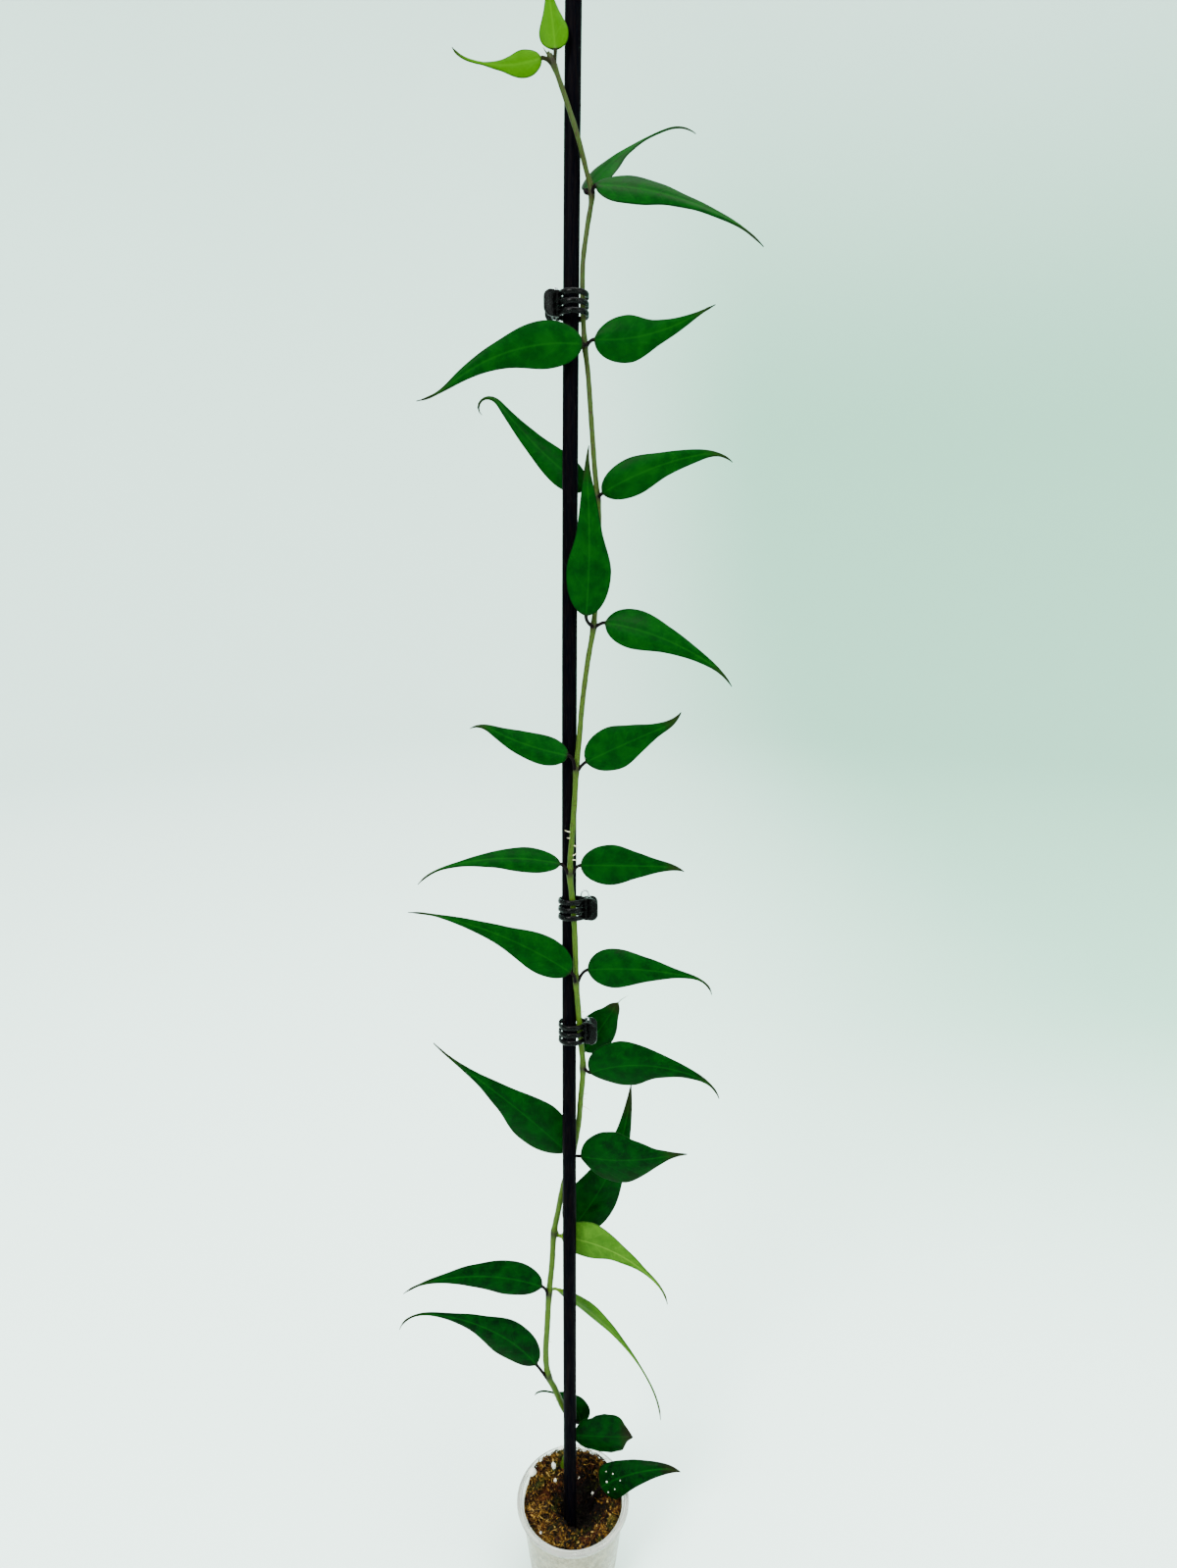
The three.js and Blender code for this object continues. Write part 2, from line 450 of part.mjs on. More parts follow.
function stemHole() {
  const points = [];
  for (let i = 0; i <= 8; i++) points.push(stemAt(lerp(23, 60, i / 8)));
  points.unshift(points[0].clone().add(v3(0, -0.1, -1.4)));
  return bar(points, stemFootRadius + fit + 0.35, 14);
}

function leafHole() {
  const leaf = leaves[27];
  const { start, bend, foot } = petioleCourse(leaf);
  const curve = new THREE.QuadraticBezierCurve3(start, bend, foot), points = [start.clone().add(v3(0, 0, -fit))];
  for (let i = 1; i <= 6; i++) points.push(curve.getPoint(i / 6.6));
  return bar(points, petioleRadius + fit + 0.1, 10);
}

const stakeHole = () => bar(stakePath(stakeBottom - fit, 60, 6), stakeRadius + fit + 0.1, 20);

addPart('cup', cup(), clearPlastic());
addPart('moss', mossPlug([stakeHole(), stemHole(), leafHole()]), dampMoss());
addPart('stake', bar(stakePath(stakeBottom, stakeBottom + stakeLength * Math.cos(stakeLean * deg), 8), stakeRadius, 14), dyedBamboo());
addPart('stem', stem(), stemGreen());
leaves.forEach((leaf, i) => {
  const material = leaf.young ? leafYoung() : leaf.under ? leafUnder() : leafGreen();
  addPart(`leaf_${String(i + 1).padStart(2, '0')}`, leafBody(leaf), material);
});
clips.forEach((clip, i) => {
  addPart(`clip_${i + 1}_front_jaw`, seat(jaw(-1), clip), clipBlack());
  addPart(`clip_${i + 1}_back_jaw`, seat(jaw(1), clip), clipBlack());
  addPart(`clip_${i + 1}_spring`, seat(spring(clip), clip), springSteel());
});

export default group;
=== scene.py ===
import math
import bmesh
import bpy
import numpy as np
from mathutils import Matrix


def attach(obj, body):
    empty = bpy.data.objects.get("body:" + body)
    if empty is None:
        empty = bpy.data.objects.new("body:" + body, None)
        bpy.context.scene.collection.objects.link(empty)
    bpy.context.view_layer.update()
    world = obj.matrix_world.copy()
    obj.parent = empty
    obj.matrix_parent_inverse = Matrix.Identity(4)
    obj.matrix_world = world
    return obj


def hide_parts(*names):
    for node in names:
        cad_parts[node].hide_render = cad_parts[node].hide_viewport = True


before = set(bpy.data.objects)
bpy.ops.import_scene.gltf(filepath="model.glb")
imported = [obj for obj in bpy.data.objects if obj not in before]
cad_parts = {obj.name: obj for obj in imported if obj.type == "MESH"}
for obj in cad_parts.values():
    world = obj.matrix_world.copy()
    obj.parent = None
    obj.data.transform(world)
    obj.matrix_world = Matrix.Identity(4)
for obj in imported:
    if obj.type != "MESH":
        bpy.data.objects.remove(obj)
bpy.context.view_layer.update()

# Potted hoya burmanica on a dyed bamboo stake. Sizes are millimetres until meshObject turns them into metres.
mm = 0.001
dice = np.random.default_rng(28)
bodyName = "plant"


# small helpers
def linear(code):
    srgb = [int(code[i:i + 2], 16) / 255 for i in (0, 2, 4)]
    return tuple(c / 12.92 if c <= 0.04045 else ((c + 0.055) / 1.055) ** 2.4 for c in srgb) + (1.0,)


def ease(t):
    u = np.clip(t, 0, 1)
    return u * u * (3 - 2 * u)


def unit(v):
    return v / np.maximum(np.linalg.norm(v, axis=-1, keepdims=True), 1e-9)


def gridFaces(rows, cols):
    # quads of a tube of rings, each ring closed on itself
    i, k = np.meshgrid(np.arange(rows - 1), np.arange(cols), indexing="ij")
    n = (k + 1) % cols
    return np.stack([i * cols + k, i * cols + n, (i + 1) * cols + n, (i + 1) * cols + k], -1).reshape(-1, 4)


def fanFaces(ring, centre):
    # triangles from a ring of corners to one middle point, -1 marks the missing fourth corner
    return np.stack([ring, np.roll(ring, -1), np.full(len(ring), centre), np.full(len(ring), -1)], -1)


def cappedFaces(rows, cols):
    # rings with a fan at each end, whose two middle points come after the rings' own points
    low, count = np.arange(cols), rows * cols
    return np.concatenate([gridFaces(rows, cols), fanFaces(low[::-1], count), fanFaces(low + count - cols, count + 1)])


def copies(faces, number, points):
    # the same faces for each of many like pieces that have that many points
    offset = (np.arange(number) * points)[:, None, None]
    return np.where(faces >= 0, faces + offset, -1).reshape(-1, 4)


def outward(verts, faces):
    # signed volume of the closed shape, faces are turned round when it is negative
    a, b, c = (verts[faces[:, j]] for j in range(3))
    volume = np.einsum("ij,ij->i", a, np.cross(b, c)).sum()
    quads = faces[:, 3] >= 0
    d = verts[faces[quads, 3]]
    volume += np.einsum("ij,ij->i", a[quads], np.cross(c[quads], d)).sum()
    if volume < 0:
        turned = faces[:, ::-1].copy()
        turned[~quads] = faces[~quads][:, [2, 1, 0, 3]]
        return turned
    return faces


def shape(verts, faces, uv=None, **values):
    verts = np.asarray(verts, float)
    faces = outward(verts, np.asarray(faces, int))
    uv = np.zeros((len(verts), 2)) if uv is None else np.asarray(uv, float)
    return {"verts": verts, "faces": faces, "uv": uv, "values": values}


def joined(parts):
    offsets = np.cumsum([0] + [len(p["verts"]) for p in parts[:-1]])
    faces = [np.where(p["faces"] >= 0, p["faces"] + o, -1) for p, o in zip(parts, offsets)]
    values = {}
    for name in sorted({n for p in parts for n in p["values"]}):
        values[name] = np.concatenate([np.broadcast_to(p["values"].get(name, 0.0), len(p["verts"])) for p in parts])
    return {"verts": np.concatenate([p["verts"] for p in parts]), "faces": np.concatenate(faces),
            "uv": np.concatenate([p["uv"] for p in parts]), "values": values}


def meshObject(name, made, material, body=bodyName, instead=(), sharp=None):
    # one smooth mesh that rides on a body and stands for the CAD nodes named in instead
    faces = made["faces"]
    keep = faces >= 0
    sizes = keep.sum(1)
    corners = faces[keep]
    mesh = bpy.data.meshes.new(name)
    mesh.vertices.add(len(made["verts"]))
    mesh.vertices.foreach_set("co", (made["verts"] * mm).astype(np.float32).ravel())
    mesh.loops.add(len(corners))
    mesh.loops.foreach_set("vertex_index", corners.astype(np.int32))
    mesh.polygons.add(len(faces))
    mesh.polygons.foreach_set("loop_start", np.concatenate([[0], np.cumsum(sizes)[:-1]]).astype(np.int32))
    mesh.update(calc_edges=True)
    mesh.polygons.foreach_set("use_smooth", np.ones(len(faces), bool))
    layer = mesh.uv_layers.new(name="UVMap")
    layer.data.foreach_set("uv", made["uv"][corners].astype(np.float32).ravel())
    for key, value in made["values"].items():
        field = mesh.attributes.new(key, "FLOAT", "POINT")
        field.data.foreach_set("value", np.broadcast_to(value, len(made["verts"])).astype(np.float32))
    mesh.validate()
    if sharp:
        mesh.set_sharp_from_angle(angle=math.radians(sharp))
    piece = bpy.data.objects.new(name, mesh)
    bpy.context.collection.objects.link(piece)
    mesh.materials.append(material)
    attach(piece, body)
    if instead:
        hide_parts(*instead)
    return piece


def tube(path, radii, sides, guide, widen=1, **values):
    # round bar: middle + r cos(a) side + r sin(a) other, with a middle point closing each end
    path = np.asarray(path, float)
    radii = np.broadcast_to(np.asarray(radii, float), len(path))
    tangent = unit(np.gradient(path, axis=0))
    side = unit(guide - tangent * (tangent @ np.asarray(guide, float))[:, None])
    other = np.cross(tangent, side)
    angle = np.arange(sides) / sides * 2 * np.pi
    ring = side[:, None] * widen * np.cos(angle)[None, :, None] + other[:, None] * np.sin(angle)[None, :, None]
    verts = path[:, None] + ring * radii[:, None, None]
    length = np.concatenate([[0], np.cumsum(np.linalg.norm(np.diff(path, axis=0), axis=1))])
    around = np.abs(np.arange(sides) / sides * 2 - 1)
    uv = np.stack(np.broadcast_arrays(around[None], length[:, None] * 0.01), -1).reshape(-1, 2)
    verts = np.concatenate([verts.reshape(-1, 3), path[:1], path[-1:]])
    uv = np.concatenate([uv, uv[:1], uv[-1:]])
    return shape(verts, cappedFaces(len(path), sides), uv, **values)


def lathe(outline, sides):
    # turned solid from (radius, height) points; the first and last radius are closed by middle points
    outline = np.asarray(outline, float)
    angle = np.arange(sides) / sides * 2 * np.pi
    r, z = outline[:, :1], outline[:, 1:]
    verts = np.stack(np.broadcast_arrays(r * np.cos(angle), r * np.sin(angle), z), -1).reshape(-1, 3)
    uv = np.stack(np.broadcast_arrays(angle / 2 / np.pi, z * 0.01), -1).reshape(-1, 2)
    uv = np.concatenate([uv, [[0, 0], [0, 1]]])
    verts = np.concatenate([verts, [[0, 0, outline[0, 1]], [0, 0, outline[-1, 1]]]])
    return shape(verts, cappedFaces(len(outline), sides), uv)


def roundedSolid(outline, low, high, radius):
    # flat outline in x and y drawn up from low to high, every edge rounded
    bm = bmesh.new()
    face = bm.faces.new([bm.verts.new((x, y, low)) for x, y in outline])
    raised = bmesh.ops.extrude_face_region(bm, geom=[face])
    lifted = [v for v in raised["geom"] if isinstance(v, bmesh.types.BMVert)]
    bmesh.ops.translate(bm, verts=lifted, vec=(0, 0, high - low))
    bmesh.ops.recalc_face_normals(bm, faces=bm.faces)
    bmesh.ops.bevel(bm, geom=bm.edges[:], offset=radius, segments=3, affect="EDGES", profile=0.5, clamp_overlap=True)
    bmesh.ops.triangulate(bm, faces=[f for f in bm.faces if len(f.verts) > 4])
    bm.verts.index_update()
    verts = np.array([v.co[:] for v in bm.verts])
    faces = np.array([[v.index for v in f.verts] + [-1] * (4 - len(f.verts)) for f in bm.faces])
    bm.free()
    return shape(verts, faces, verts[:, :2] * 0.1)


def block(low, high, radius):
    corners = [(low[0], low[1]), (high[0], low[1]), (high[0], high[1]), (low[0], high[1])]
    return roundedSolid(corners, low[2], high[2], radius)


def moved(part, matrix=None, shift=(0, 0, 0)):
    # turned or mirrored by the matrix, then shifted
    verts = part["verts"] if matrix is None else part["verts"] @ np.asarray(matrix).T
    return {**part, "verts": verts + np.asarray(shift), "faces": outward(verts, part["faces"])}


# shader helpers: they add nodes to the material that newMaterial made last
current = {}


def newMaterial(name):
    material = bpy.data.materials.new(name)
    material.use_nodes = True
    tree = current["tree"] = material.node_tree
    tree.nodes.clear()
    out = tree.nodes.new("ShaderNodeOutputMaterial")
    tree.links.new(tree.nodes.new("ShaderNodeBsdfPrincipled").outputs[0], out.inputs[0])
    return material


def setInputs(node, inputs):
    # another node's output is linked, a plain value is set on the socket itself
    for key, value in inputs.items():
        if isinstance(value, bpy.types.NodeSocket):
            current["tree"].links.new(value, node.inputs[key])
        else:
            node.inputs[key].default_value = value


def dressed(material, inputs):
    # the material with its own shader's sockets filled in
    setInputs(material.node_tree.nodes["Principled BSDF"], inputs)
    return material


def addNode(kind, inputs=(), **settings):
    made = current["tree"].nodes.new(kind)
    for key, value in settings.items():
        setattr(made, key, value)
    setInputs(made, dict(inputs))
    return made


def sums(how, a, b=0.0, clamp=False):
    # one arithmetic step, named as Blender's Math node names it
    return addNode("ShaderNodeMath", {0: a, 1: b}, operation=how, use_clamp=clamp).outputs[0]


def times(a, b):
    return sums("MULTIPLY", a, b)


def field(name):
    return addNode("ShaderNodeAttribute", attribute_name=name).outputs["Fac"]


def between(value, low, high, start=0.0, end=1.0):
    ends = {"Value": value, "From Min": low, "From Max": high, "To Min": start, "To Max": end}
    return addNode("ShaderNodeMapRange", ends, interpolation_type="SMOOTHSTEP").outputs["Result"]


def tint(share, a, b):
    # a and b are other colours' outputs or sRGB hex codes
    a, b = (linear(c) if isinstance(c, str) else c for c in (a, b))
    return addNode("ShaderNodeMix", {0: share, 6: a, 7: b}, data_type="RGBA").outputs[2]


def noise(place, perMetre, detail=3.0, rough=0.5):
    grain = {"Vector": place, "Scale": perMetre, "Detail": detail, "Roughness": rough}
    return addNode("ShaderNodeTexNoise", grain).outputs["Fac"]


def objectPlace(stretch=(1, 1, 1)):
    place = addNode("ShaderNodeTexCoord").outputs["Object"]
    return addNode("ShaderNodeMapping", {"Vector": place, "Scale": stretch}).outputs[0]


def axes(place):
    return addNode("ShaderNodeSeparateXYZ", {0: place}).outputs


def bump(height, strength, distance):
    return addNode("ShaderNodeBump", {"Height": height, "Strength": strength, "Distance": distance}).outputs[0]


# camera, floor and light
cameraView = {"place": (0.0072, -0.3301, 0.4876), "pitch": -15.3, "lens": 21.39, "sensor": 36, "near": 0.02, "far": 30}
cameraData = bpy.data.cameras.new("photoCamera")
cameraData.lens, cameraData.sensor_width = cameraView["lens"], cameraView["sensor"]
cameraData.clip_start, cameraData.clip_end = cameraView["near"], cameraView["far"]
photoCamera = bpy.data.objects.new("photoCamera", cameraData)
photoCamera.location = cameraView["place"]
photoCamera.rotation_euler = (math.radians(90 + cameraView["pitch"]), 0, 0)
bpy.context.collection.objects.link(photoCamera)
bpy.context.scene.camera = photoCamera


def matteSheet():
    # pale paper sheet, faintly green, with the softest mottling and painted grey green shade on the right of the back
    # wall
    material = newMaterial("paperSheet")
    place = objectPlace()
    cloud = noise(place, 1.3, 2)
    colour = tint(cloud, "deefe9", "d6e9e2")
    across, back, height = axes(place)[:3]
    # painted shade: the back wall darkens to a soft grey green on the right and lower down
    paintedShadeShare = times(between(across, -0.2, 0.65, 0, 0.9), between(back, 0.0, 0.6))
    paintedShadeShare = times(paintedShadeShare, between(height, 2.4, 0.7))
    colour = tint(paintedShadeShare, colour, "8cc2a8")
    return dressed(material, {"Base Color": colour, "Roughness": 0.85, "Specular IOR Level": 0.2})


# a round sheet in metres: a flat floor that sweeps up into a wall
sheetPiece = {"flat": 1.9, "sweep": 1.3, "top": 2.6, "sides": 96}
flat, sweep, sides = sheetPiece["flat"], sheetPiece["sweep"], sheetPiece["sides"]
bowl = [(0.4, 0), (1.1, 0), (flat, 0)]
bowl += [(flat + sweep * math.sin(a), sweep - sweep * math.cos(a)) for a in np.linspace(0, np.pi / 2, 14)[1:]]
bowl += [(flat + sweep, sheetPiece["top"])]
angle = np.arange(sides) / sides * 2 * np.pi
bowlVerts = [(r * math.cos(a), r * math.sin(a), z) for r, z in bowl for a in angle] + [(0, 0, 0)]
bowlFaces = np.concatenate([gridFaces(len(bowl), sides), fanFaces(np.arange(sides)[::-1], len(bowlVerts) - 1)])
floorMesh = bpy.data.meshes.new("floor")
floorMesh.from_pydata(bowlVerts, [], [[int(v) for v in f if v >= 0] for f in bowlFaces])
floorMesh.polygons.foreach_set("use_smooth", np.ones(len(bowlFaces), bool))
floorMesh.materials.append(matteSheet())
floor = bpy.data.objects.new("floor", floorMesh)
bpy.context.collection.objects.link(floor)


def softLight(name, place, target, width, watts, colour):
    # round area light at a place in metres, turned to face the target
    data = bpy.data.lights.new(name, "AREA")
    data.shape, data.size, data.energy, data.color = "DISK", width, watts, colour
    light = bpy.data.objects.new(name, data)
    light.location = place
    way = np.array(target) - np.array(place)
    light.rotation_euler = (math.acos(-way[2] / np.linalg.norm(way)), 0, math.atan2(-way[0], way[1]))
    bpy.context.collection.objects.link(light)


softLight("keyLight", (-0.9, -1.3, 1.5), (0, 0, 0.35), 0.7, 74, (1, 1, 0.98))
softLight("topLight", (0.3, -0.2, 2.4), (0, 0, 0.2), 1.8, 118, (0.97, 1, 0.99))
softLight("fillLight", (1.4, -1.0, 0.9), (0, 0, 0.35), 1.2, 26, (0.92, 1, 0.97))
world = bpy.data.worlds.new("paleRoom")
world.use_nodes = True
world.node_tree.nodes["Background"].inputs[0].default_value = linear("e2ecea")
world.node_tree.nodes["Background"].inputs[1].default_value = 2.5
bpy.context.scene.world = world
print("camera, floor and lights made")


# the stake, which leans back from the viewer by some degrees
stakePiece = {"radius": 2.88, "lean": 4, "foot": 6, "length": 698, "sides": 40, "rings": 150, "chamfer": 0.35}


def stakeY(z):
    return -3.5 + (z - 46) * math.tan(math.radians(stakePiece["lean"]))


def stakeX(z):
    # left of the middle at the foot, bowed to the right towards the top
    s = np.asarray(z) / 700
    return -1.4 + 1.4 * s * (1 - s) + 4.2 * s ** 3


def dyedBamboo():
    # black-dyed bamboo rod: fine grain along the rod, brown low down that is partly worn dye and partly painted sheen,
    # next to no real shine
    material = newMaterial("dyedBambooLacquered")
    fibre = noise(objectPlace((1, 1, 0.02)), 2600, 4, 0.6)
    coarse = noise(objectPlace((1, 1, 0.03)), 800, 3)
    patch = noise(objectPlace((1, 1, 0.15)), 60, 2)
    height = axes(objectPlace())[2]
    dye = tint(between(fibre, 0.42, 0.66), "010103", "050304")
    wearAndPaintedSheen = tint(between(coarse, 0.5, 0.72), dye, "0e0909")
    # worn dye in patches, and painted sheen that grows towards the foot of the rod
    share = times(between(patch, 0.35, 0.7, 0.2, 1.0), between(height, 0.5, 0.2, 0.15, 0.9))
    colour = tint(share, dye, wearAndPaintedSheen)
    return dressed(material, {"Base Color": colour, "Roughness": between(coarse, 0.3, 0.7, 0.34, 0.52),
        "Specular IOR Level": 0.005, "Normal": bump(fibre, 0.5, 0.0002)})


foot, chamfer = stakePiece["foot"], stakePiece["chamfer"]
top = foot + stakePiece["length"] * math.cos(math.radians(stakePiece["lean"]))
z = np.linspace(foot, top, stakePiece["rings"])
z = np.sort(np.concatenate([z, [foot + chamfer, top - chamfer]]))
radii = np.full(len(z), stakePiece["radius"])
radii[[0, -1]] -= chamfer
stakeShape = tube(np.stack([stakeX(z), stakeY(z), z], -1), radii, stakePiece["sides"], (0, -1, 0))
meshObject("stake_rod", stakeShape, dyedBamboo(), instead=["stake"], sharp=40)
print("stake made")


# the stem, thick at the foot and thin at the tip, swollen at each joint
stemPiece = {"radius": 1.45, "taper": 0.6, "swell": 0.3, "sides": 18}
jointHeights = np.array([637.4, 599.3, 550.7, 498.9, 452.2, 398.5, 357.3, 312, 272, 228, 190.8, 162.9, 122, 88])

# sideways place, height, reach in front of the stake's middle
stemCourse = np.array([
    (-7.5, 22, -21.2), (-7.2, 34, -20.8), (-6.6, 46, -20.2), (-3.2, 62, -16.6), (-1.2, 78, -11.6), (-1.4, 91, -8),
    (-4.6, 101, -5.2), (-8, 113, -2.6), (-10.9, 122, -0.8), (-11.8, 134, 0), (-11.1, 147, 0), (-10.2, 162.9, -2),
    (-8.8, 177, -3), (-7.9, 190.8, -4.6), (-5.9, 201.6, -5), (-3.7, 213.4, -5), (0.3, 228, -5), (2.9, 243.1, -4.2),
    (3.8, 255, -2.2), (4.9, 272, 0.2), (3.8, 287, 1.5), (3, 300, 2.7), (2.2, 312, 3.5), (2, 323, 3.7),
    (1.6, 335.5, 4), (0.6, 348.2, 4.4), (-0.1, 357.3, 4.7), (0.9, 373.3, 4.6), (1.9, 386.6, 4.3), (2.5, 398.5, 4),
    (3.5, 408.3, 3.2), (4.8, 423.2, 2), (7, 439.9, 1.4), (9.1, 452.2, 1), (10.4, 472, 0.4), (11, 493.1, 0),
    (10.5, 498.9, 0), (9.5, 508.6, 0), (8.2, 525.7, 0), (7, 541.6, 0), (5.9, 550.7, 0.4), (5.1, 566, 1.3),
    (5.3, 578.2, 1.3), (6.8, 588.8, 1.5), (8.3, 599.3, 2), (6.4, 606, 3.2), (3.9, 614.6, 4.8), (-0.5, 627, 5),
    (-4.7, 637.4, 5.8), (-6.3, 640.2, 6)])
stemKnots = np.stack([stemCourse[:, 0], stakeY(stemCourse[:, 1]) - stemCourse[:, 2], stemCourse[:, 1]], -1)


def hermite(s, a, slopeA, b, slopeB):
    # cubic from a to b with the slopes given at its two ends
    return ((2 * s ** 3 - 3 * s ** 2 + 1) * a + (s ** 3 - 2 * s ** 2 + s) * slopeA
            + (3 * s ** 2 - 2 * s ** 3) * b + (s ** 3 - s ** 2) * slopeB)


def smoothCourse(knots, perSpan):
    # centripetal spline: each span's tangents weigh the neighbouring chords by the root of their length
    ends = np.concatenate([[2 * knots[0] - knots[1]], knots, [2 * knots[-1] - knots[-2]]])
    gap = np.sqrt(np.linalg.norm(np.diff(ends, axis=0), axis=1))[:, None]
    p0, p1, p2, p3 = ends[:-3], ends[1:-2], ends[2:-1], ends[3:]
    g0, g1, g2 = gap[:-2], gap[1:-1], gap[2:]
    t1 = ((p1 - p0) / g0 - (p2 - p0) / (g0 + g1) + (p2 - p1) / g1) * g1
    t2 = ((p2 - p1) / g1 - (p3 - p1) / (g1 + g2) + (p3 - p2) / g2) * g1
    s = (np.arange(perSpan) / perSpan)[None, :, None]
    run = hermite(s, p1[:, None], t1[:, None], p2[:, None], t2[:, None])
    return np.concatenate([run.reshape(-1, 3), knots[-1:]])


stemLine = smoothCourse(stemKnots, 14)


def stemRadiusAt(z):
    swell = np.exp(-((np.asarray(z)[..., None] - jointHeights) / 2.6) ** 2).max(-1)
    thin = stemPiece["taper"] * np.minimum(1, np.asarray(z) / 640)
    return stemPiece["radius"] - thin + stemPiece["swell"] * swell


def stemAt(z):
    return np.array([np.interp(z, stemLine[:, 2], stemLine[:, j]) for j in range(3)])


def stemBark():
    # young green bark: olive above, yellow-green below, purple-brown specks and dark swollen joints
    material = newMaterial("hoyaStemSkin")
    place = objectPlace()
    height = axes(place)[2]
    base = tint(between(height, 0.3, 0.6), "2e4207", "222a08")
    streak = noise(objectPlace((1, 1, 0.12)), 1500, 3)
    base = tint(between(streak, 0.4, 0.7, 0, 0.55), base, "1c3408")
    speck = noise(objectPlace((1, 1, 0.55)), 2300, 2)
    dots = times(between(speck, 0.56, 0.64), between(height, 0.05, 0.5, 0.35, 0.95))
    base = tint(dots, base, "22130e")
    colour = tint(field("joint"), base, "150e0a")
    return dressed(material, {"Base Color": colour, "Roughness": 0.5, "Specular IOR Level": 0.08,
        "Normal": bump(speck, 0.4, 0.0002)})


stemMiddle = stemLine[:, 2]
stemRadii = stemRadiusAt(stemMiddle) + 0.05 * np.sin(stemMiddle * 0.9) * np.sin(stemMiddle * 0.23)
stemRadii = np.where(stemMiddle > 639.5, 0.5, stemRadii)
darkJoint = np.exp(-((stemMiddle[:, None] - jointHeights) / 1.5) ** 2).max(1) * 0.85
darkAll = np.concatenate([np.repeat(darkJoint, stemPiece["sides"]), [0, 0]])
bark = stemBark()
stemShape = tube(stemLine, stemRadii, stemPiece["sides"], (0, -1, 0), joint=darkAll)
meshObject("stem_vine", stemShape, bark, instead=["stem"])
print("stem made")


# the leaves
# heading from aim by sweep to hook, degrees anticlockwise as the viewer sees it; out leans towards the viewer
leafColumns = ("node", "foot", "length", "width", "aim", "sweep", "hook", "out", "curl", "roll", "belly", "taper")
leafRows = [
    (1, (-3.8, 31.6, 640.8), 27, 9.8, 95, 7, -12, -9, 0, 0, 0.2, (0.5, 0.16, 0.07)),
    (1, (-8.4, 30.8, 638), 31.5, 8, 196, -42, -30, -4, 0, 0, 0.19, (0.37, 0.08, 0.05)),
    (2, (6.2, 36.6, 601.2), 50.5, 11.5, 53, -38, -46, -18, 0, -45, 0.12, (0.35, 0.07, 0.04)),
    (2, (9.7, 30.7, 600.8), 62.5, 12, -3, -33, -12, 9, 0, -30, 0.17, (0.55, 0.26, 0.07)),
    (3, (5.2, 25.4, 550), 63, 15.8, 176, 52, -39, 5, -16, 0, 0.21, (0.57, 0.26, 0.06)),
    (3, (9.3, 29.8, 552.4), 44.5, 15.6, -6, 42, -10, 4, -20, 0, 0.27, (0.52, 0.23, 0.07)),
    (4, (6, 34.8, 502.2), 59.5, 11.8, 144, -20, 200, -12, 0, 0, 0.18, (0.63, 0.29, 0.09)),
    (4, (12.3, 26, 500.2), 50, 13.2, 31, -28, -47, 9, -18, 0, 0.25, (0.63, 0.35, 0.1)),
    (5, (6.3, 18.8, 456.7), 59.5, 16.5, 85, 11, -15, 2, -14, 0, 0.26, (0.57, 0.32, 0.11)),
    (5, (13.5, 22, 453.8), 54.5, 14.6, -6, -35, -18, 12, -24, -10, 0.21, (0.62, 0.28, 0.09)),
    (6, (-0.6, 14.6, 404.6), 40, 11.4, 172, -24, 65, -8, 0, 15, 0.24, (0.79, 0.41, 0.13)),
    (6, (6.3, 16.2, 401.6), 41.5, 17, 30, -9, 40, 5, -20, 0, 0.29, (0.66, 0.3, 0.13)),
    (7, (-3.8, 11.6, 361.8), 57.5, 10.4, 164, 39, 28, 7, 0, 43, 0.22, (0.63, 0.2, 0.06)),
    (7, (4.1, 13.4, 360.6), 42, 16, 1, -9, -25, -6, -16, -10, 0.29, (0.67, 0.33, 0.14)),
    (8, (0.2, 8, 317.2), 70, 15.6, 146, 27, 8, -5, 0, 10, 0.18, (0.52, 0.22, 0.05)),
    (8, (7, 10.2, 317.3), 53.5, 16, 14, -32, -62, 9, -18, -12, 0.2, (0.59, 0.19, 0.05)),
    (9, (8, 9, 271.5), 59, 21, 34, -70, -37, 12, -16, 0, 0.26, (0.54, 0.22, 0.05)),
    (9, (5.4, 23.3, 272.8), 25, 16, 50, 2, 0, -21, 0, 0, 0.42, (0.84, 0.52, 0.3)),
    (10, (-2.4, 19.4, 226), 78, 22, 128, 17, -12, 2, -14, 0, 0.25, (0.52, 0.18, 0.05)),
    (10, (4, 12.4, 228.8), 47, 25.5, 9, 11, -17, 15, -24, 0, 0.37, (0.66, 0.26, 0.08)),
    (11, (-1.4, 19.6, 184.6), 73.5, 22.5, 46, 43, -4, -11, 0, 0, 0.2, (0.61, 0.3, 0.13)),
    (11, (-4.6, 12.2, 187.8), 58, 18, 0, -57, -23, 9, 0, 0, 0.21, (0.45, 0.12, 0.05)),
    (12, (-13.2, 4.2, 168.8), 62, 14.4, 151, 48, 19, 7, 0, 18, 0.25, (0.67, 0.24, 0.06)),
    (12, (-6, 14.6, 156.8), 94, 12.5, -38, -40, -8, -2, 0, 30, 0.14, (0.31, 0.07, 0.04)),
    (13, (-16, -0.4, 131.4), 73, 16.6, 120, 62, 71, 5, 0, 12, 0.26, (0.45, 0.14, 0.05)),
    (14, (3.6, 11.6, 84.2), 31, 11.7, 96, 113, 42, -10, 0, 0, 0.19, (0.6, 0.08, 0.04)),
    (14, (0.8, 4.6, 85.4), 26.8, 22, -2, 7, -14, 3, 0, 0, 0.5, (0.97, 0.87, 0.3)),
    (15, (13.2, 4.4, 54.3), 41, 14.7, 45, -42, -24, 6, 0, -40, 0.12, (0.76, 0.48, 0.23)),
]
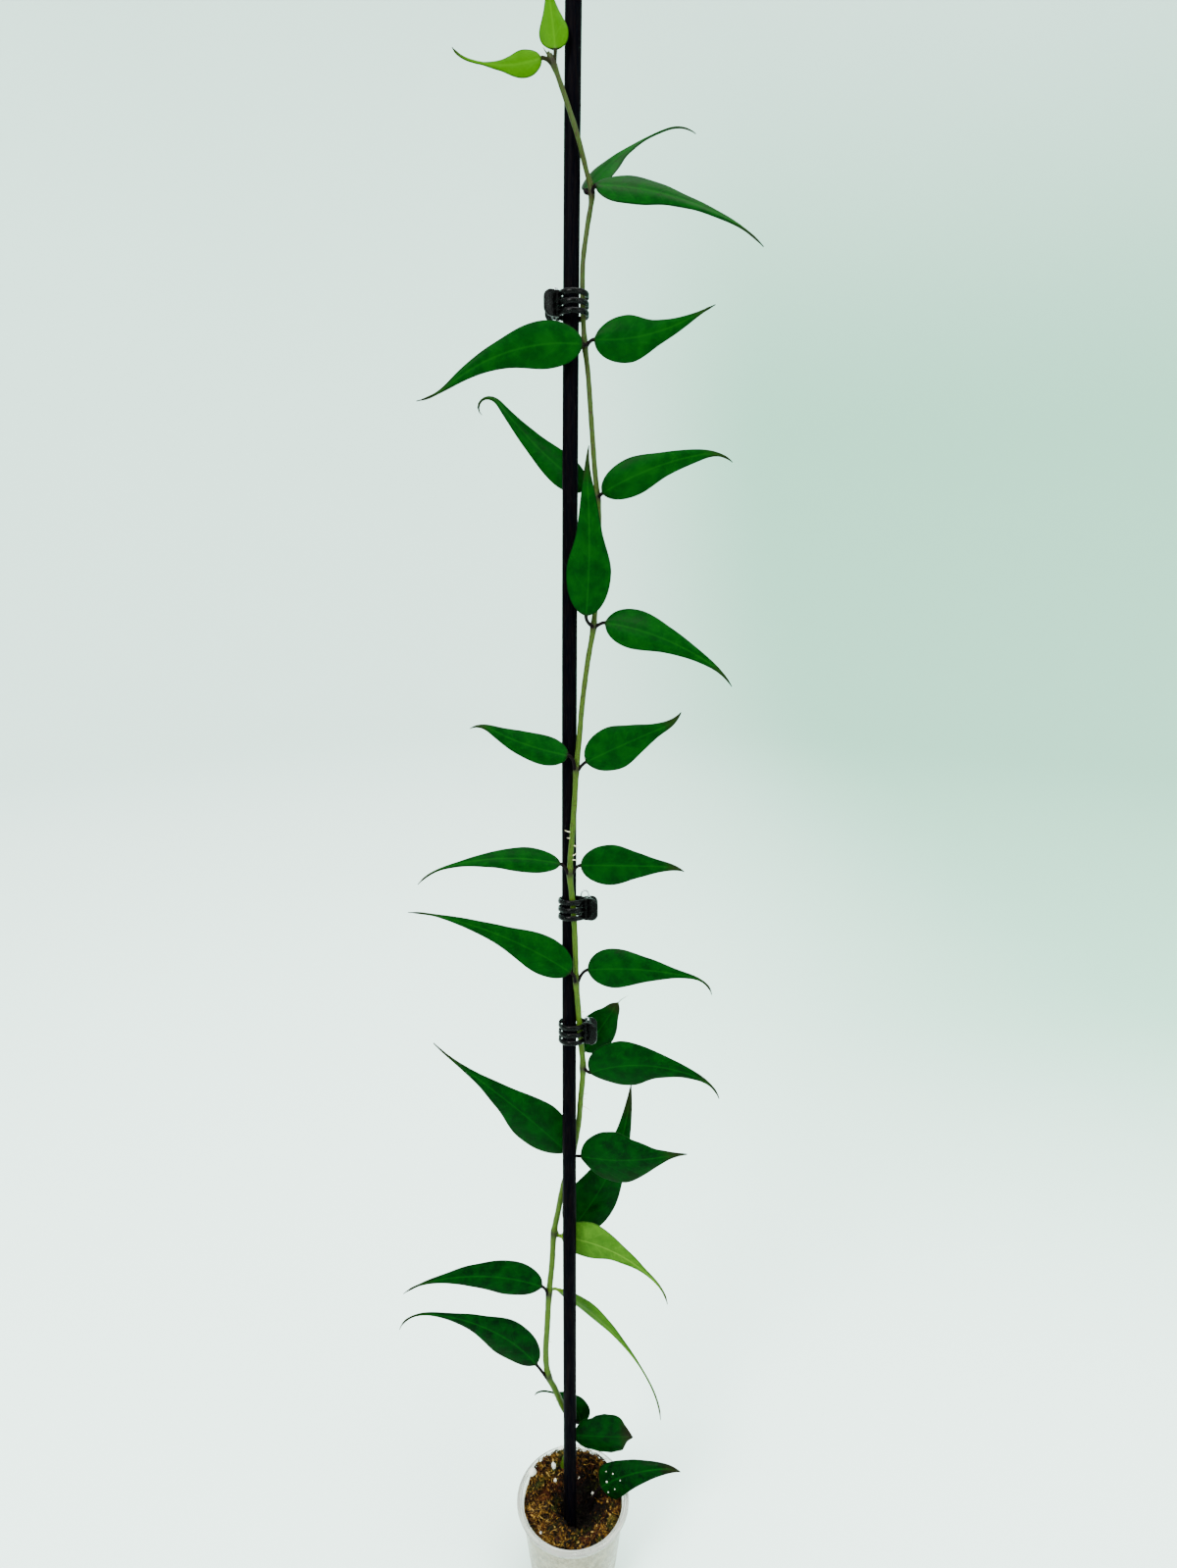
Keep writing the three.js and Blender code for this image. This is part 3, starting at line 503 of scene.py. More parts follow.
# what sets some leaves apart, by leaf number
leafExtras = {
    1: {"kind": "young"}, 2: {"kind": "young"}, 21: {"lift": -1.8}, 22: {"lift": 0.4, "kind": "under"},
    24: {"kind": "under"}, 26: {"bow": 0.08}, 27: {"nicks": [(0.27, 0.13, 0.05, 1), (0.86, 0.16, 0.045, 1)]},
    28: {"root": (8, 4.5, 31)},
}
leafTable = [{**dict(zip(leafColumns, row)), **leafExtras.get(i, {})} for i, row in enumerate(leafRows, 1)]
leafForm = {"cupping": 0.14, "wave": 0.25, "flutter": 0.12, "groove": 0.22, "rib": 0.3, "ribWidth": 1.1,
            "stalkRadius": 0.62, "bow": 0.35}


def bladeWidth(leaf, t):
    # quarter ellipse from the foot to the belly, then a monotone cubic through three widths to the drip tip
    belly = leaf["belly"]
    u = np.clip((t - belly) / (1 - belly), 0, 1)
    knots = np.array([0, 0.33, 0.62, 0.85, 1])
    values = np.array([1, *leaf["taper"], 0.02])
    step = np.diff(values) / np.diff(knots)
    slopes = np.zeros(5)
    inner = step[:-1] * step[1:]
    slopes[1:4] = np.where(inner > 0, 2 * inner / np.where(step[:-1] + step[1:] == 0, 1, step[:-1] + step[1:]), 0)
    slopes[4] = step[-1]
    i = np.clip(np.searchsorted(knots, u, "left") - 1, 0, 3)
    w = (knots[1:] - knots[:-1])[i]
    s = (u - knots[i]) / w
    rest = hermite(s, values[i], w * slopes[i], values[i + 1], w * slopes[i + 1])
    foot = np.sqrt(np.clip(1 - ((belly - np.minimum(t, belly)) / belly) ** 2, 0, 1))
    return np.where(t < belly, foot, rest)


def bladeFrame(leaf, t):
    # heading a = aim + sweep t + hook past 3/4, leaning out towards the viewer by o
    hook = leaf["hook"] * np.clip((t - 0.75) / 0.25, 0, None) ** 1.5
    a = np.radians(leaf["aim"] + leaf["sweep"] * t + hook)
    o = np.radians(leaf["out"] + leaf["curl"] * (t - 0.5))
    roll = math.radians(leaf["roll"])
    along = np.stack([np.cos(a) * np.cos(o), -np.sin(o), np.sin(a) * np.cos(o)], -1)
    e = np.stack([-np.sin(a), np.zeros_like(a), np.cos(a)], -1)
    across = e * math.cos(roll) + np.cross(along, e) * math.sin(roll)
    return along, across, np.cross(along, across)


def midrib(leaf, t):
    fine = np.linspace(0, 1, 401)
    along = bladeFrame(leaf, (fine[1:] + fine[:-1]) / 2)[0]
    run = np.concatenate([np.zeros((1, 3)), np.cumsum(along, axis=0)]) * leaf["length"] / 400 + np.array(leaf["foot"])
    return np.stack([np.interp(t, fine, run[:, j]) for j in range(3)], -1)


def petioleCourse(leaf):
    foot = np.array(leaf["foot"], float)
    along = bladeFrame(leaf, np.array([0.0]))[0][0]
    if "root" in leaf:
        start = np.array(leaf["root"], float)
    else:
        height = jointHeights[leaf["node"] - 1] + leaf.get("lift", 0)
        middle = stemAt(height)
        stemWay, lean = unit(stemAt(height + 1) - stemAt(height - 1)), unit(foot - middle)
        outwards = unit(lean - stemWay * (lean @ stemWay))
        # the stalk starts inside the stem's skin, so the two meet without a gap
        start = middle + outwards * (float(stemRadiusAt(height)) - 0.5)
    reach = np.linalg.norm(foot - start)
    return start, foot - along * leaf.get("bow", leafForm["bow"]) * reach, foot


bladeLanes = np.sin(np.linspace(-1, 1, 17) * np.pi / 2)


def bladeSurface(leaf, t, lane, up):
    # cupped and wavy blade with a groove along its midrib; lane runs from -1 to 1 between the margins
    t, lane = np.broadcast_arrays(np.asarray(t, float), np.asarray(lane, float))
    _, across, face = bladeFrame(leaf, t)
    least = np.where(t < 0.1, leafForm["stalkRadius"], 0.12 + 0.34 * ease((1 - t) / 0.07))
    half = np.maximum(leaf["width"] / 2 * bladeWidth(leaf, t), least)
    for at, depth, spread, side in leaf.get("nicks", ()):
        half = half * (1 - depth * np.exp(-((t - at) / spread) ** 2) * (lane * side > 0) * np.abs(lane))
    wave = leafForm["wave"] * np.sin(11 * t + leaf["node"] * 2.1) * ease(half / 4)
    flutter = leafForm["flutter"] * np.sin(31 * t + leaf["node"]) * lane ** 4 * ease(half / 4)
    groove = leafForm["groove"] * np.exp(-(lane * half / 0.75) ** 2) * ease(half / 3)
    lift = up - leafForm["cupping"] * half * lane ** 2 + wave * lane + flutter - groove
    return midrib(leaf, t) + across * (half * lane)[..., None] + face * lift[..., None], half


def leafShape(leaf, tone):
    belly, lanes = leaf["belly"], bladeLanes
    t = np.concatenate([belly * (1 - np.cos(np.linspace(0.03, 1, 12) * np.pi / 2)), np.linspace(belly, 1, 34)[1:]])
    start, bend, foot = petioleCourse(leaf)
    s = np.linspace(0, 0.97, 12)
    stalk = (1 - s)[:, None] ** 2 * start + 2 * (s * (1 - s))[:, None] * bend + s[:, None] ** 2 * foot
    tangent = unit(np.gradient(stalk, axis=0))
    _, across, face = bladeFrame(leaf, np.zeros(len(s)))
    side = unit(across - tangent * np.einsum("ij,ij->i", across, tangent)[:, None])
    upward = np.cross(tangent, side)
    stalkRadius = leafForm["stalkRadius"] + 0.18 * np.exp(-s / 0.12) + 0.1 * ease((s - 0.8) / 0.2)
    lane2 = np.concatenate([lanes, lanes[::-1]])
    sign = np.concatenate([np.ones(len(lanes)), -np.ones(len(lanes))])
    rise = sign * np.maximum(np.sqrt(np.clip(1 - lane2 ** 2, 0, 1)), 0.05)
    ring = side[:, None] * lane2[:, None] + upward[:, None] * rise[:, None]
    stalkVerts = stalk[:, None] + stalkRadius[:, None, None] * ring
    thick = (0.12 + 0.22 * (1 - lane2 ** 4)) * sign
    root = np.exp(-t / 0.03)[:, None]
    rib = -leafForm["rib"] * np.exp(-(lane2[None] * leaf["width"] / 2 / leafForm["ribWidth"]) ** 2)
    rib = rib * (sign < 0) * (1 - t[:, None]) ** 0.6
    up = thick[None] * (0.5 + 0.5 * ease((1 - t[:, None]) / 0.2)) + rib + root * rise[None] * 0.35
    bladeVerts, half = bladeSurface(leaf, t[:, None], lane2[None], up)
    cols, rows = len(lane2), len(s) + len(t)
    ends = np.stack([stalkVerts[0].mean(0), bladeVerts[-1].mean(0)])
    verts = np.concatenate([stalkVerts.reshape(-1, 3), bladeVerts.reshape(-1, 3), ends])

    def spread(stalkValue, bladeValue):
        a = np.broadcast_to(stalkValue, (len(s), cols)).ravel()
        b = np.broadcast_to(bladeValue, (len(t), cols)).ravel()
        return np.concatenate([a, b, a[:1], b[-1:]])
    uv = np.stack([spread(lane2[None] / 2 + 0.5, lane2[None] / 2 + 0.5), spread(-0.1, t[:, None])], -1)
    return shape(verts, cappedFaces(rows, cols), uv,
                 acrossBlade=spread(0.0, half * lane2[None]), alongBlade=spread(0.0, t[:, None] * leaf["length"]),
                 fromMargin=spread(9.0, half * (1 - np.abs(lane2[None]))),
                 stalk=spread(1.0, np.exp(-t / 0.012)[:, None]),
                 upperSide=spread(0.5, (sign > 0)[None] * 1.0), tip=spread(0.0, ease((t[:, None] - 0.72) / 0.28)),
                 tone=tone)


def waxyLeaf(name, dark, mid, vein, edge, below, stalkColour, gloss):
    # waxy hoya leaf: cloudy green, paler midrib and feather veins, thin dark margin, brown drip tip, duller underside,
    # lighter on leaves high on the stem as painted light
    material = newMaterial(name)
    across, along = field("acrossBlade"), field("alongBlade")
    margin, tone, upper = field("fromMargin"), field("tone"), field("upperSide")
    place = objectPlace()
    cloud = noise(place, 210, 3)
    mottle = noise(place, 900, 3)
    # painted light: leaves higher on the stem get more of the lit green, a random part gives each leaf its own tone,
    # and the cloud mottles it
    share = sums("ADD", between(cloud, 0.3, 0.7, -0.15, 0.3), tone, clamp=True)
    colour = tint(share, dark, mid)
    colour = tint(between(mottle, 0.5, 0.72, 0, 0.1), colour, vein)
    away = sums("ABSOLUTE", across)
    # side veins leave the midrib forwards, about 6 mm apart, and fade towards the margin
    slant = sums("SUBTRACT", along, times(away, 1.15))
    warp = times(cloud, 5.0)
    stripe = sums("COSINE", times(sums("ADD", slant, warp), 1.05))
    lines = times(between(stripe, 0.93, 1.0), between(margin, 0.6, 2.5))
    ribLine = between(away, 0.5, 0.12)
    veins = sums("MAXIMUM", times(lines, 0.07), times(ribLine, 0.3))
    colour = tint(veins, colour, vein)
    colour = tint(between(margin, 0.42, 0.05, 0, 0.75), colour, edge)
    under = tint(between(mottle, 0.35, 0.7), below, tint(0.5, below, vein))
    under = tint(times(ribLine, 0.55), under, vein)
    colour = tint(upper, under, colour)
    colour = tint(times(field("tip"), 0.8), colour, "150e09")
    colour = tint(field("stalk"), colour, stalkColour)
    dull = between(upper, 0, 1, gloss + 0.2, gloss)
    relief = sums("ADD", times(lines, -0.6), times(mottle, 0.8))
    return dressed(material, {"Base Color": colour,
        "Roughness": sums("ADD", dull, between(cloud, 0.3, 0.7, -0.05, 0.07)), "IOR": 1.42,
        "Specular IOR Level": 0.015, "Normal": bump(relief, 0.2, 0.0003)})


# shaded green, lit green, veins, margin, underside, stalk, roughness, slot
leafLooks = {
    "grown": ("hoyaLeafGrown", "000e02", "012b03", "0a3c08", "000401", "1c4416", "0a0607", 0.4, "leaf_green"),
    "young": ("hoyaLeafYoung", "1c4000", "274e00", "3a640a", "102402", "30560a", "16160a", 0.42, "leaf_young"),
    "under": ("hoyaLeafUnderside", "20400a", "385a14", "5c7c28", "10240a", "1c4010", "4c6418", 0.5, "leaf_under"),
}
leafMaterials = {kind: waxyLeaf(*look[:-1]) for kind, look in leafLooks.items()}
for i, leaf in enumerate(leafTable):
    kind = leaf.get("kind", "grown")
    # painted light: the lit share grows up the stem, as if lamps overhead reached the upper leaves more; the random
    # part is each leaf's own tone
    tone = 0.2 + 0.55 * (1 - (leaf["node"] - 1) / 13) + dice.uniform(-0.08, 0.08)
    name = f"leaf_{i + 1:02d}"
    meshObject(name + "_blade", leafShape(leaf, tone), leafMaterials[kind], instead=[name])
print("28 leaves made")


def lump(place, size, turnBy):
    # ball of rings pushed in and out by crossed sines, drawn out to the grain's three widths
    rows, cols = 9, 12
    v = np.linspace(0.12, np.pi - 0.12, rows)[:, None]
    u = np.arange(cols) / cols * 2 * np.pi
    p = np.stack(np.broadcast_arrays(np.sin(v) * np.cos(u), np.sin(v) * np.sin(u), np.cos(v)), -1)
    bumpy = (1 + 0.12 * np.sin(3 * p[..., 0] + turnBy * 3) * np.cos(4 * p[..., 1] + turnBy)
             + 0.07 * np.sin(7 * p[..., 2] + turnBy * 5))
    p = p * bumpy[..., None]
    p = np.concatenate([p.reshape(-1, 3), [[0, 0, 1.0], [0, 0, -1.0]]]) * np.array(size) / 2
    c, n = math.cos(turnBy), math.sin(turnBy)
    p = p @ np.array([[c, n, 0], [-n, c, 0], [0, 0, 1]]) + np.array(place)
    return shape(p, cappedFaces(rows, cols))


# the cup
cupPiece = {"height": 54, "baseRadius": 18, "topRadius": 24, "wall": 0.9, "sides": 144}


def cupInner(z):
    slope = (cupPiece["topRadius"] - cupPiece["baseRadius"]) / cupPiece["height"]
    return cupPiece["baseRadius"] + slope * z - cupPiece["wall"]


def hazyPlastic():
    # thin clear polypropylene, slightly milky and scuffed, whiter where the rim is thick
    material = newMaterial("clearCupPlastic")
    place = objectPlace()
    height = axes(place)[2]
    rimLine = (0.0495, 0.0515)
    haze = noise(place, 160, 4)
    clot = noise(place, 430, 5, 0.65)
    # the moss behind shows as a blurred beige and brown mottling below the rim
    colour = tint(between(clot, 0.36, 0.64), "6d6046", "9d9176")
    colour = tint(between(height, *rimLine), colour, "f4f2ec")
    return dressed(material, {"Base Color": colour, "Roughness": between(haze, 0.3, 0.75, 0.22, 0.4),
        "Transmission Weight": between(height, *rimLine, 0.4, 0.86), "IOR": 1.49, "Normal": bump(haze, 0.15, 0.0003)})


# radius and height from the middle of the foot, up outside, over the beaded rim and down inside
cupLine = [(0.01, 0), (17.4, 0), (17.85, 0.12), (18.2, 0.4), (18.45, 0.8)]
cupLine += np.linspace((18.45, 0.8), (23.65, 50.4), 14)[1:].tolist()
cupLine += [(24.3, 50.6), (24.9, 50.8), (25.25, 51.4), (25.5, 52), (25.8, 52.6), (26, 53.1), (25.95, 53.5),
            (25.65, 53.8), (25.35, 53.95), (25, 54), (24.7, 53.85), (24.4, 53.5), (24.1, 53.42), (24.0, 53.5),
            (23.8, 53.8), (23.6, 53.9), (23.35, 53.82), (23.1, 53.5)]
cupLine += np.linspace((23.1, 53.5), (17.25, 1.2), 14)[1:].tolist() + [(0.01, 1.2)]
rimNub = lump((1.2, -25.1, 54.0), (1.7, 1.0, 0.8), 0.3)
cupShape = joined([lathe(cupLine, cupPiece["sides"]), rimNub])
meshObject("nursery_cup", cupShape, hazyPlastic(), instead=["cup"], sharp=50)
print("cup made")


# the moss
mossPiece = {"level": 50, "foot": 1.6, "radius": 22.3, "sides": 132, "hollowMiddle": (3.5, 3), "hollowReach": 10.5,
             "hollowDepth": 13, "heap": 5.4, "threads": 3300, "flakes": 2600, "wallThreads": 900}


def hollowAt(x, y, reach):
    # 1 in the middle of the hollow round the stake, 0 beyond its reach
    middleX, middleY = mossPiece["hollowMiddle"]
    return np.exp(-(np.hypot(x - middleX, (y - middleY) * 0.8) / reach) ** 3.2)


def mossTop(x, y):
    # clotted top with a hollow round the stake and a heap against the back of the cup
    lumps = 1.1 * np.sin(x * 0.55 + 1) * np.cos(y * 0.48) + 0.6 * np.sin(x * 1.1 - y * 0.9)
    heap = mossPiece["heap"] * ease((y - 4) / 15) + 2.4 * np.exp(-((x + 17.5) ** 2 + (y - 11.5) ** 2) / 36)
    hollow = mossPiece["hollowDepth"] * hollowAt(x, y, mossPiece["hollowReach"])
    return mossPiece["level"] + lumps * ease((22.5 - np.hypot(x, y)) / 4) - hollow + heap


def ripple(x, y, z=0.0):
    # crossed sines of unlike pitch give an uneven clotted surface
    return (np.sin(x * 2.3 + 1.7 * np.sin(y * 1.9)) * np.cos(y * 2.7 + 1.3 * np.sin(x * 1.4 + z))
            + 0.6 * np.sin(x * 5.1 + y * 3.7 + z * 2.9) * np.cos(y * 4.6 - x * 2.2 + z))


def dampMoss():
    # dead sphagnum, damp: dark brown clots, gold and olive strands, each strand with its own tone, and painted shade
    # near black on the bed between the strands and down in the hollow
    material = newMaterial("dampSphagnumMoss")
    place = objectPlace()
    clot = noise(place, 420, 4, 0.6)
    fine = noise(place, 1900, 3)
    depth = sums("ADD", field("shade"), between(clot, 0.3, 0.7, -0.2, 0.2), clamp=True)
    ramp = addNode("ShaderNodeValToRGB", {"Fac": depth})
    stops = [(0.0, "010100"), (0.26, "080401"), (0.44, "241205"), (0.62, "4a2e0a"), (0.8, "6c4c14"), (1.0, "98783c")]
    bar = ramp.color_ramp
    bar.elements[0].position, bar.elements[0].color = 0, linear(stops[0][1])
    bar.elements[1].position, bar.elements[1].color = 1, linear(stops[-1][1])
    for where, code in stops[1:-1]:
        bar.elements.new(where).color = linear(code)
    patch = noise(place, 150, 2)
    colour = tint(between(patch, 0.54, 0.62, 0, 0.6), ramp.outputs[0], "30360c")
    colour = tint(between(patch, 0.45, 0.36, 0, 0.6), colour, "3a1405")
    # painted shade: where the value is low, on the bed and down in the hollow, the colour goes near black
    colour = tint(between(field("shade"), 0.0, 0.3, 0.9, 0.0), colour, "060301")
    colour = tint(between(fine, 0.35, 0.7, 0, 0.45), colour, "0c0502")
    return dressed(material, {"Base Color": colour, "Roughness": 0.86, "Specular IOR Level": 0.08,
        "Normal": bump(fine, 0.8, 0.0006)})


mossLook = dampMoss()
sides, low, radius = mossPiece["sides"], mossPiece["foot"], mossPiece["radius"]
turnAngle = np.arange(sides) / sides * 2 * np.pi
wallZ, topRadii = np.linspace(low, 48, 22), np.linspace(radius, 0.5, 48)
r = np.concatenate([cupInner(wallZ) - 0.35, topRadii])
onWall = (np.arange(len(r)) < len(wallZ))[:, None]
x, y = r[:, None] * np.cos(turnAngle), r[:, None] * np.sin(turnAngle)
topX, topY = x[len(wallZ):], y[len(wallZ):]
rough = 0.7 * ripple(topX, topY) * ease((radius + 0.1 - topRadii) / 1.5)[:, None]
zAll = np.concatenate([np.repeat(wallZ[:, None], sides, 1), mossTop(topX, topY) + rough - 0.6])
# the side of the plug is dented, so it lies unevenly against the clear wall
pull = onWall * 0.35 * (1 + ripple(x * 0.7, zAll * 0.5, y * 0.6)) / 2
x, y = x * (1 - pull / r[:, None]), y * (1 - pull / r[:, None])
verts = np.stack([x, y, zAll], -1).reshape(-1, 3)
verts = np.concatenate([verts, [[0, 0, low], [0, 0, zAll[-1].mean()]]])
outer = np.hypot(verts[:, 0], verts[:, 1]) > radius - 4.6 * (1 - verts[:, 2] / cupPiece["height"]) - 1.2
# painted shade: the bed under the strands is near black, as the gaps between them lie in shadow; its side against the
# cup is a mid brown
bed = shape(verts, cappedFaces(len(r), sides), shade=np.where(outer, 0.34, 0.05))
meshObject("moss_bed", bed, mossLook, instead=["moss"])


def strands(paths, radii, shade):
    # many three-sided threads at once: paths is strand x point x 3
    n, steps, _ = paths.shape
    tangent = unit(np.gradient(paths, axis=1))
    side = unit(np.cross(tangent, np.array([0.13, 0.21, 0.97])))
    other = np.cross(tangent, side)
    angle = np.arange(3) / 3 * 2 * np.pi
    ring = side[:, :, None] * np.cos(angle)[:, None] + other[:, :, None] * np.sin(angle)[:, None]
    verts = paths[:, :, None] + ring * radii[:, :, None, None]
    caps = np.array([[2, 1, 0, -1], [steps * 3 - 3, steps * 3 - 2, steps * 3 - 1, -1]])
    faces = copies(np.concatenate([gridFaces(steps, 3), caps]), n, steps * 3)
    return shape(verts.reshape(-1, 3), faces, shade=np.repeat(shade, steps * 3))


def wander(heading, bendBy, length, s):
    # two sideways courses of curved strands that start with a heading and bend along their length
    way, stride = heading[:, None] + bendBy[:, None] * s, length[:, None] / s.shape[1]
    return np.cumsum(np.cos(way), 1) * stride, np.cumsum(np.sin(way), 1) * stride


def turned(a, b, angle):
    return a * np.cos(angle) - b * np.sin(angle), a * np.sin(angle) + b * np.cos(angle)


def mossThreads(count, longest, highest):
    # curved strands strewn over the moss, with painted shade making them darker down in the hollow
    s = np.linspace(0, 1, 6)[None]
    r0 = 22.2 * np.sqrt(dice.uniform(0, 1, count))
    a0 = dice.uniform(0, 2 * np.pi, count)
    heading = dice.uniform(0, 2 * np.pi, count)
    length = dice.uniform(2.2, longest, count)
    bendBy = dice.uniform(-2.4, 2.4, count)
    alongX, alongY = wander(heading, bendBy, length, s)
    x, y = (r0 * np.cos(a0))[:, None] + alongX, (r0 * np.sin(a0))[:, None] + alongY
    r = np.hypot(x, y)
    pull = np.minimum(1, 22.35 / np.maximum(r, 1e-6))
    x, y = x * pull, y * pull
    lift = dice.uniform(0.1, highest, count)[:, None] * np.sin(np.pi * (0.1 + 0.8 * s))
    lift = lift + dice.uniform(-0.5, 0.5, (count, 1)) * s
    z = mossTop(x, y) + 0.35 * ripple(x, y) + lift - 0.35
    thick = dice.uniform(0.11, 0.3, count)[:, None] * (1 - 0.65 * s)
    # painted shade: strands down in the hollow are darker
    shade = np.clip(dice.normal(0.47, 0.3, count) - 0.75 * hollowAt(x.mean(1), y.mean(1), 11.5), 0, 1)
    return strands(np.stack([x, y, z], -1), thick, shade)


def mossFlakes(count):
    # thin pointed scraps, a ring of six corners with a middle above and below, each turned and tipped
    a = np.arange(6) / 6 * 2 * np.pi
    length, width = dice.uniform(0.8, 2.5, count), dice.uniform(0.35, 0.85, count)
    crimp = 0.12 * np.sin(3 * a) * width[:, None]
    flat = np.stack([length[:, None] * np.cos(a), width[:, None] * np.sin(a), crimp], -1)
    middle = np.zeros((count, 1, 3)) + np.array([0, 0, 0.09])
    local = np.concatenate([flat, middle, -middle], 1)
    turnBy, tip, roll = dice.uniform(0, 2 * np.pi, count), dice.normal(0, 0.5, count), dice.normal(0, 0.45, count)
    x, z = turned(local[..., 0], local[..., 2], tip[:, None])
    y, z = turned(local[..., 1], z, roll[:, None])
    x, y = turned(x, y, turnBy[:, None])
    r0, a0 = 21.2 * np.sqrt(dice.uniform(0, 1, count)), dice.uniform(0, 2 * np.pi, count)
    px, py = r0 * np.cos(a0), r0 * np.sin(a0)
    base = mossTop(px, py) + 0.5 * ripple(px, py) + dice.uniform(-0.1, 0.9, count)
    verts = np.stack([x + px[:, None], y + py[:, None], z + base[:, None]], -1)
    k = np.arange(6)
    faces = copies(np.concatenate([fanFaces(k, 6), fanFaces(k[::-1], 7)]), count, 8)
    # painted shade: flakes down in the hollow are darker
    shade = np.clip(dice.normal(0.54, 0.32, count) - 0.8 * hollowAt(px, py, 11), 0, 1)
    return shape(verts.reshape(-1, 3), faces, shade=np.repeat(shade, 8))


def looseThreads(count=16):
    # a few long fibres that stand up behind and lie over the back of the rim
    s = np.linspace(0, 1, 6)[None]
    a0 = np.radians(dice.uniform(-25, 150, count))[:, None]
    r = dice.uniform(18, 21, count)[:, None] + dice.uniform(2.5, 4.6, count)[:, None] * s
    a = a0 + dice.uniform(-0.35, 0.35, count)[:, None] * s
    rimSide = mossTop(r[:, :1] * np.cos(a0), r[:, :1] * np.sin(a0)) * (1 - s) + 54.5 * s
    z = rimSide + dice.uniform(0.6, 1.8, count)[:, None] * np.sin(np.pi * s)
    over = np.stack([r * np.cos(a), r * np.sin(a), z], -1)
    feet = np.array([(-12.5, 16.5, 51), (-15.5, 13.5, 51), (-10.5, 18, 51), (11, 17, 51)])[:, None]
    ways = np.array([(-1.2, 0.4, 9), (-3.5, 0.5, 6.5), (2.6, 0.5, 5.5), (3, 0.6, 6)])[:, None]
    sway = np.array([(2.2, 0, -1.4), (1.5, 0, -1), (-1.5, 0.4, -1), (2, 0, -2)])[:, None]
    up = feet + ways * s[..., None] + sway * s[..., None] ** 2
    paths = np.concatenate([over, up])
    radii = dice.uniform(0.14, 0.24, len(paths))[:, None] * (1 - 0.6 * s)
    return strands(paths, radii, np.clip(dice.normal(0.7, 0.2, len(paths)), 0.3, 1))


def wallThreads(count):
    # strands pressed against the inside of the cup
    s = np.linspace(0, 1, 6)[None]
    around, start = dice.uniform(0, 2 * np.pi, count), dice.uniform(2.5, 48, count)
    heading, bendBy, length = dice.uniform(0, 2 * np.pi, count), dice.uniform(-2, 2, count), dice.uniform(3, 9, count)
    sideways, upwards = wander(heading, bendBy, length, s)
    height = np.clip(start[:, None] + upwards, 2, 50)
    turnBy = around[:, None] + sideways / 20
    r = cupInner(height) - 0.36
    paths = np.stack([r * np.cos(turnBy), r * np.sin(turnBy), height], -1)
    thick = dice.uniform(0.12, 0.3, count)[:, None] * (1 - 0.5 * s)
    return strands(paths, thick, np.clip(dice.normal(0.64, 0.24, count), 0, 1))


threads = joined([mossThreads(mossPiece["threads"], 7.5, 1.9), looseThreads()])
mossParts = {"moss_threads": threads, "moss_flakes": mossFlakes(mossPiece["flakes"]),
             "moss_wall_threads": wallThreads(mossPiece["wallThreads"])}
for name, made in mossParts.items():
    meshObject(name, made, mossLook)
print("moss made")


# perlite and small growth
def perliteLook():
    # expanded perlite: chalky white, pitted
    material = newMaterial("perliteGrain")
    place = objectPlace()
    pits = noise(place, 2400, 4, 0.65)
    return dressed(material, {"Base Color": tint(between(pits, 0.35, 0.6), "aaa594", "dcd9d0"), "Roughness": 0.8,
        "Normal": bump(pits, 0.9, 0.0005)})


def onMoss(x, y, rise):
    return (x, y, float(mossTop(np.array(x), np.array(y))) + rise)


# place on the moss and rise above it, the three widths, and the turn of each grain
grainTable = [(-9.5, 13.3, 1.1, (2.1, 2.2, 4.2), 1.1), (-8.6, 9.8, 0.7, (1.5, 1.5, 1.8), 2.0),
              (-6.2, 21.6, 1.0, (2.6, 2.2, 2.4), 0.9), (9.3, 9.3, 0.6, (1.7, 1.7, 2.2), 1.7),
              (2.4, 13.8, 0.6, (1.2, 1.1, 1.3), 0.2), (-14.5, -13.5, 0.7, (1.5, 1.2, 1.2), 2.6),
              (14.2, -8.4, 0.7, (1.2, 1.0, 1.0), 0.7)]
grains = [lump((-19.4, 9.9, 56.3), (4.0, 3.6, 3.6), 0.4)]
grains += [lump(onMoss(x, y, rise), size, turnBy) for x, y, rise, size, turnBy in grainTable]
# crumbs on the foot of the lowest leaf: share of its length, lane and width
lowLeaf = leafTable[27]
crumbTable = ((0.1, 0.1, 0.8), (0.16, -0.45, 0.5), (0.21, 0.35, 0.6), (0.27, -0.15, 0.5), (0.06, -0.5, 0.6),
              (0.14, 0.6, 0.5))
for at, lane, size in crumbTable:
    spot = bladeSurface(lowLeaf, at, lane, 0.35)[0]
    grains.append(lump(spot, (size, size * 0.9, size), at * 30))
meshObject("perlite_grains", joined(grains), perliteLook())


def paleRoot():
    # young aerial root: white to cream, a little fuzzy
    material = newMaterial("aerialRootSkin")
    fuzz = noise(objectPlace(), 2600, 3)
    return dressed(material, {"Base Color": tint(fuzz, "c9c2a4", "8f825a"), "Roughness": 0.7,
        "Normal": bump(fuzz, 0.6, 0.0002)})


def sprout(start, way, length, radius, bendWay):
    # short pointed shoot that starts along way and bends by bendWay
    s = np.linspace(0, 1, 9)[:, None]
    path = np.array(start) + np.array(way) * length * s + np.array(bendWay) * length * s ** 2
    return tube(path, radius * (1 - 0.85 * s[:, 0] ** 1.5), 8, (0.2, 0.3, 0.93))


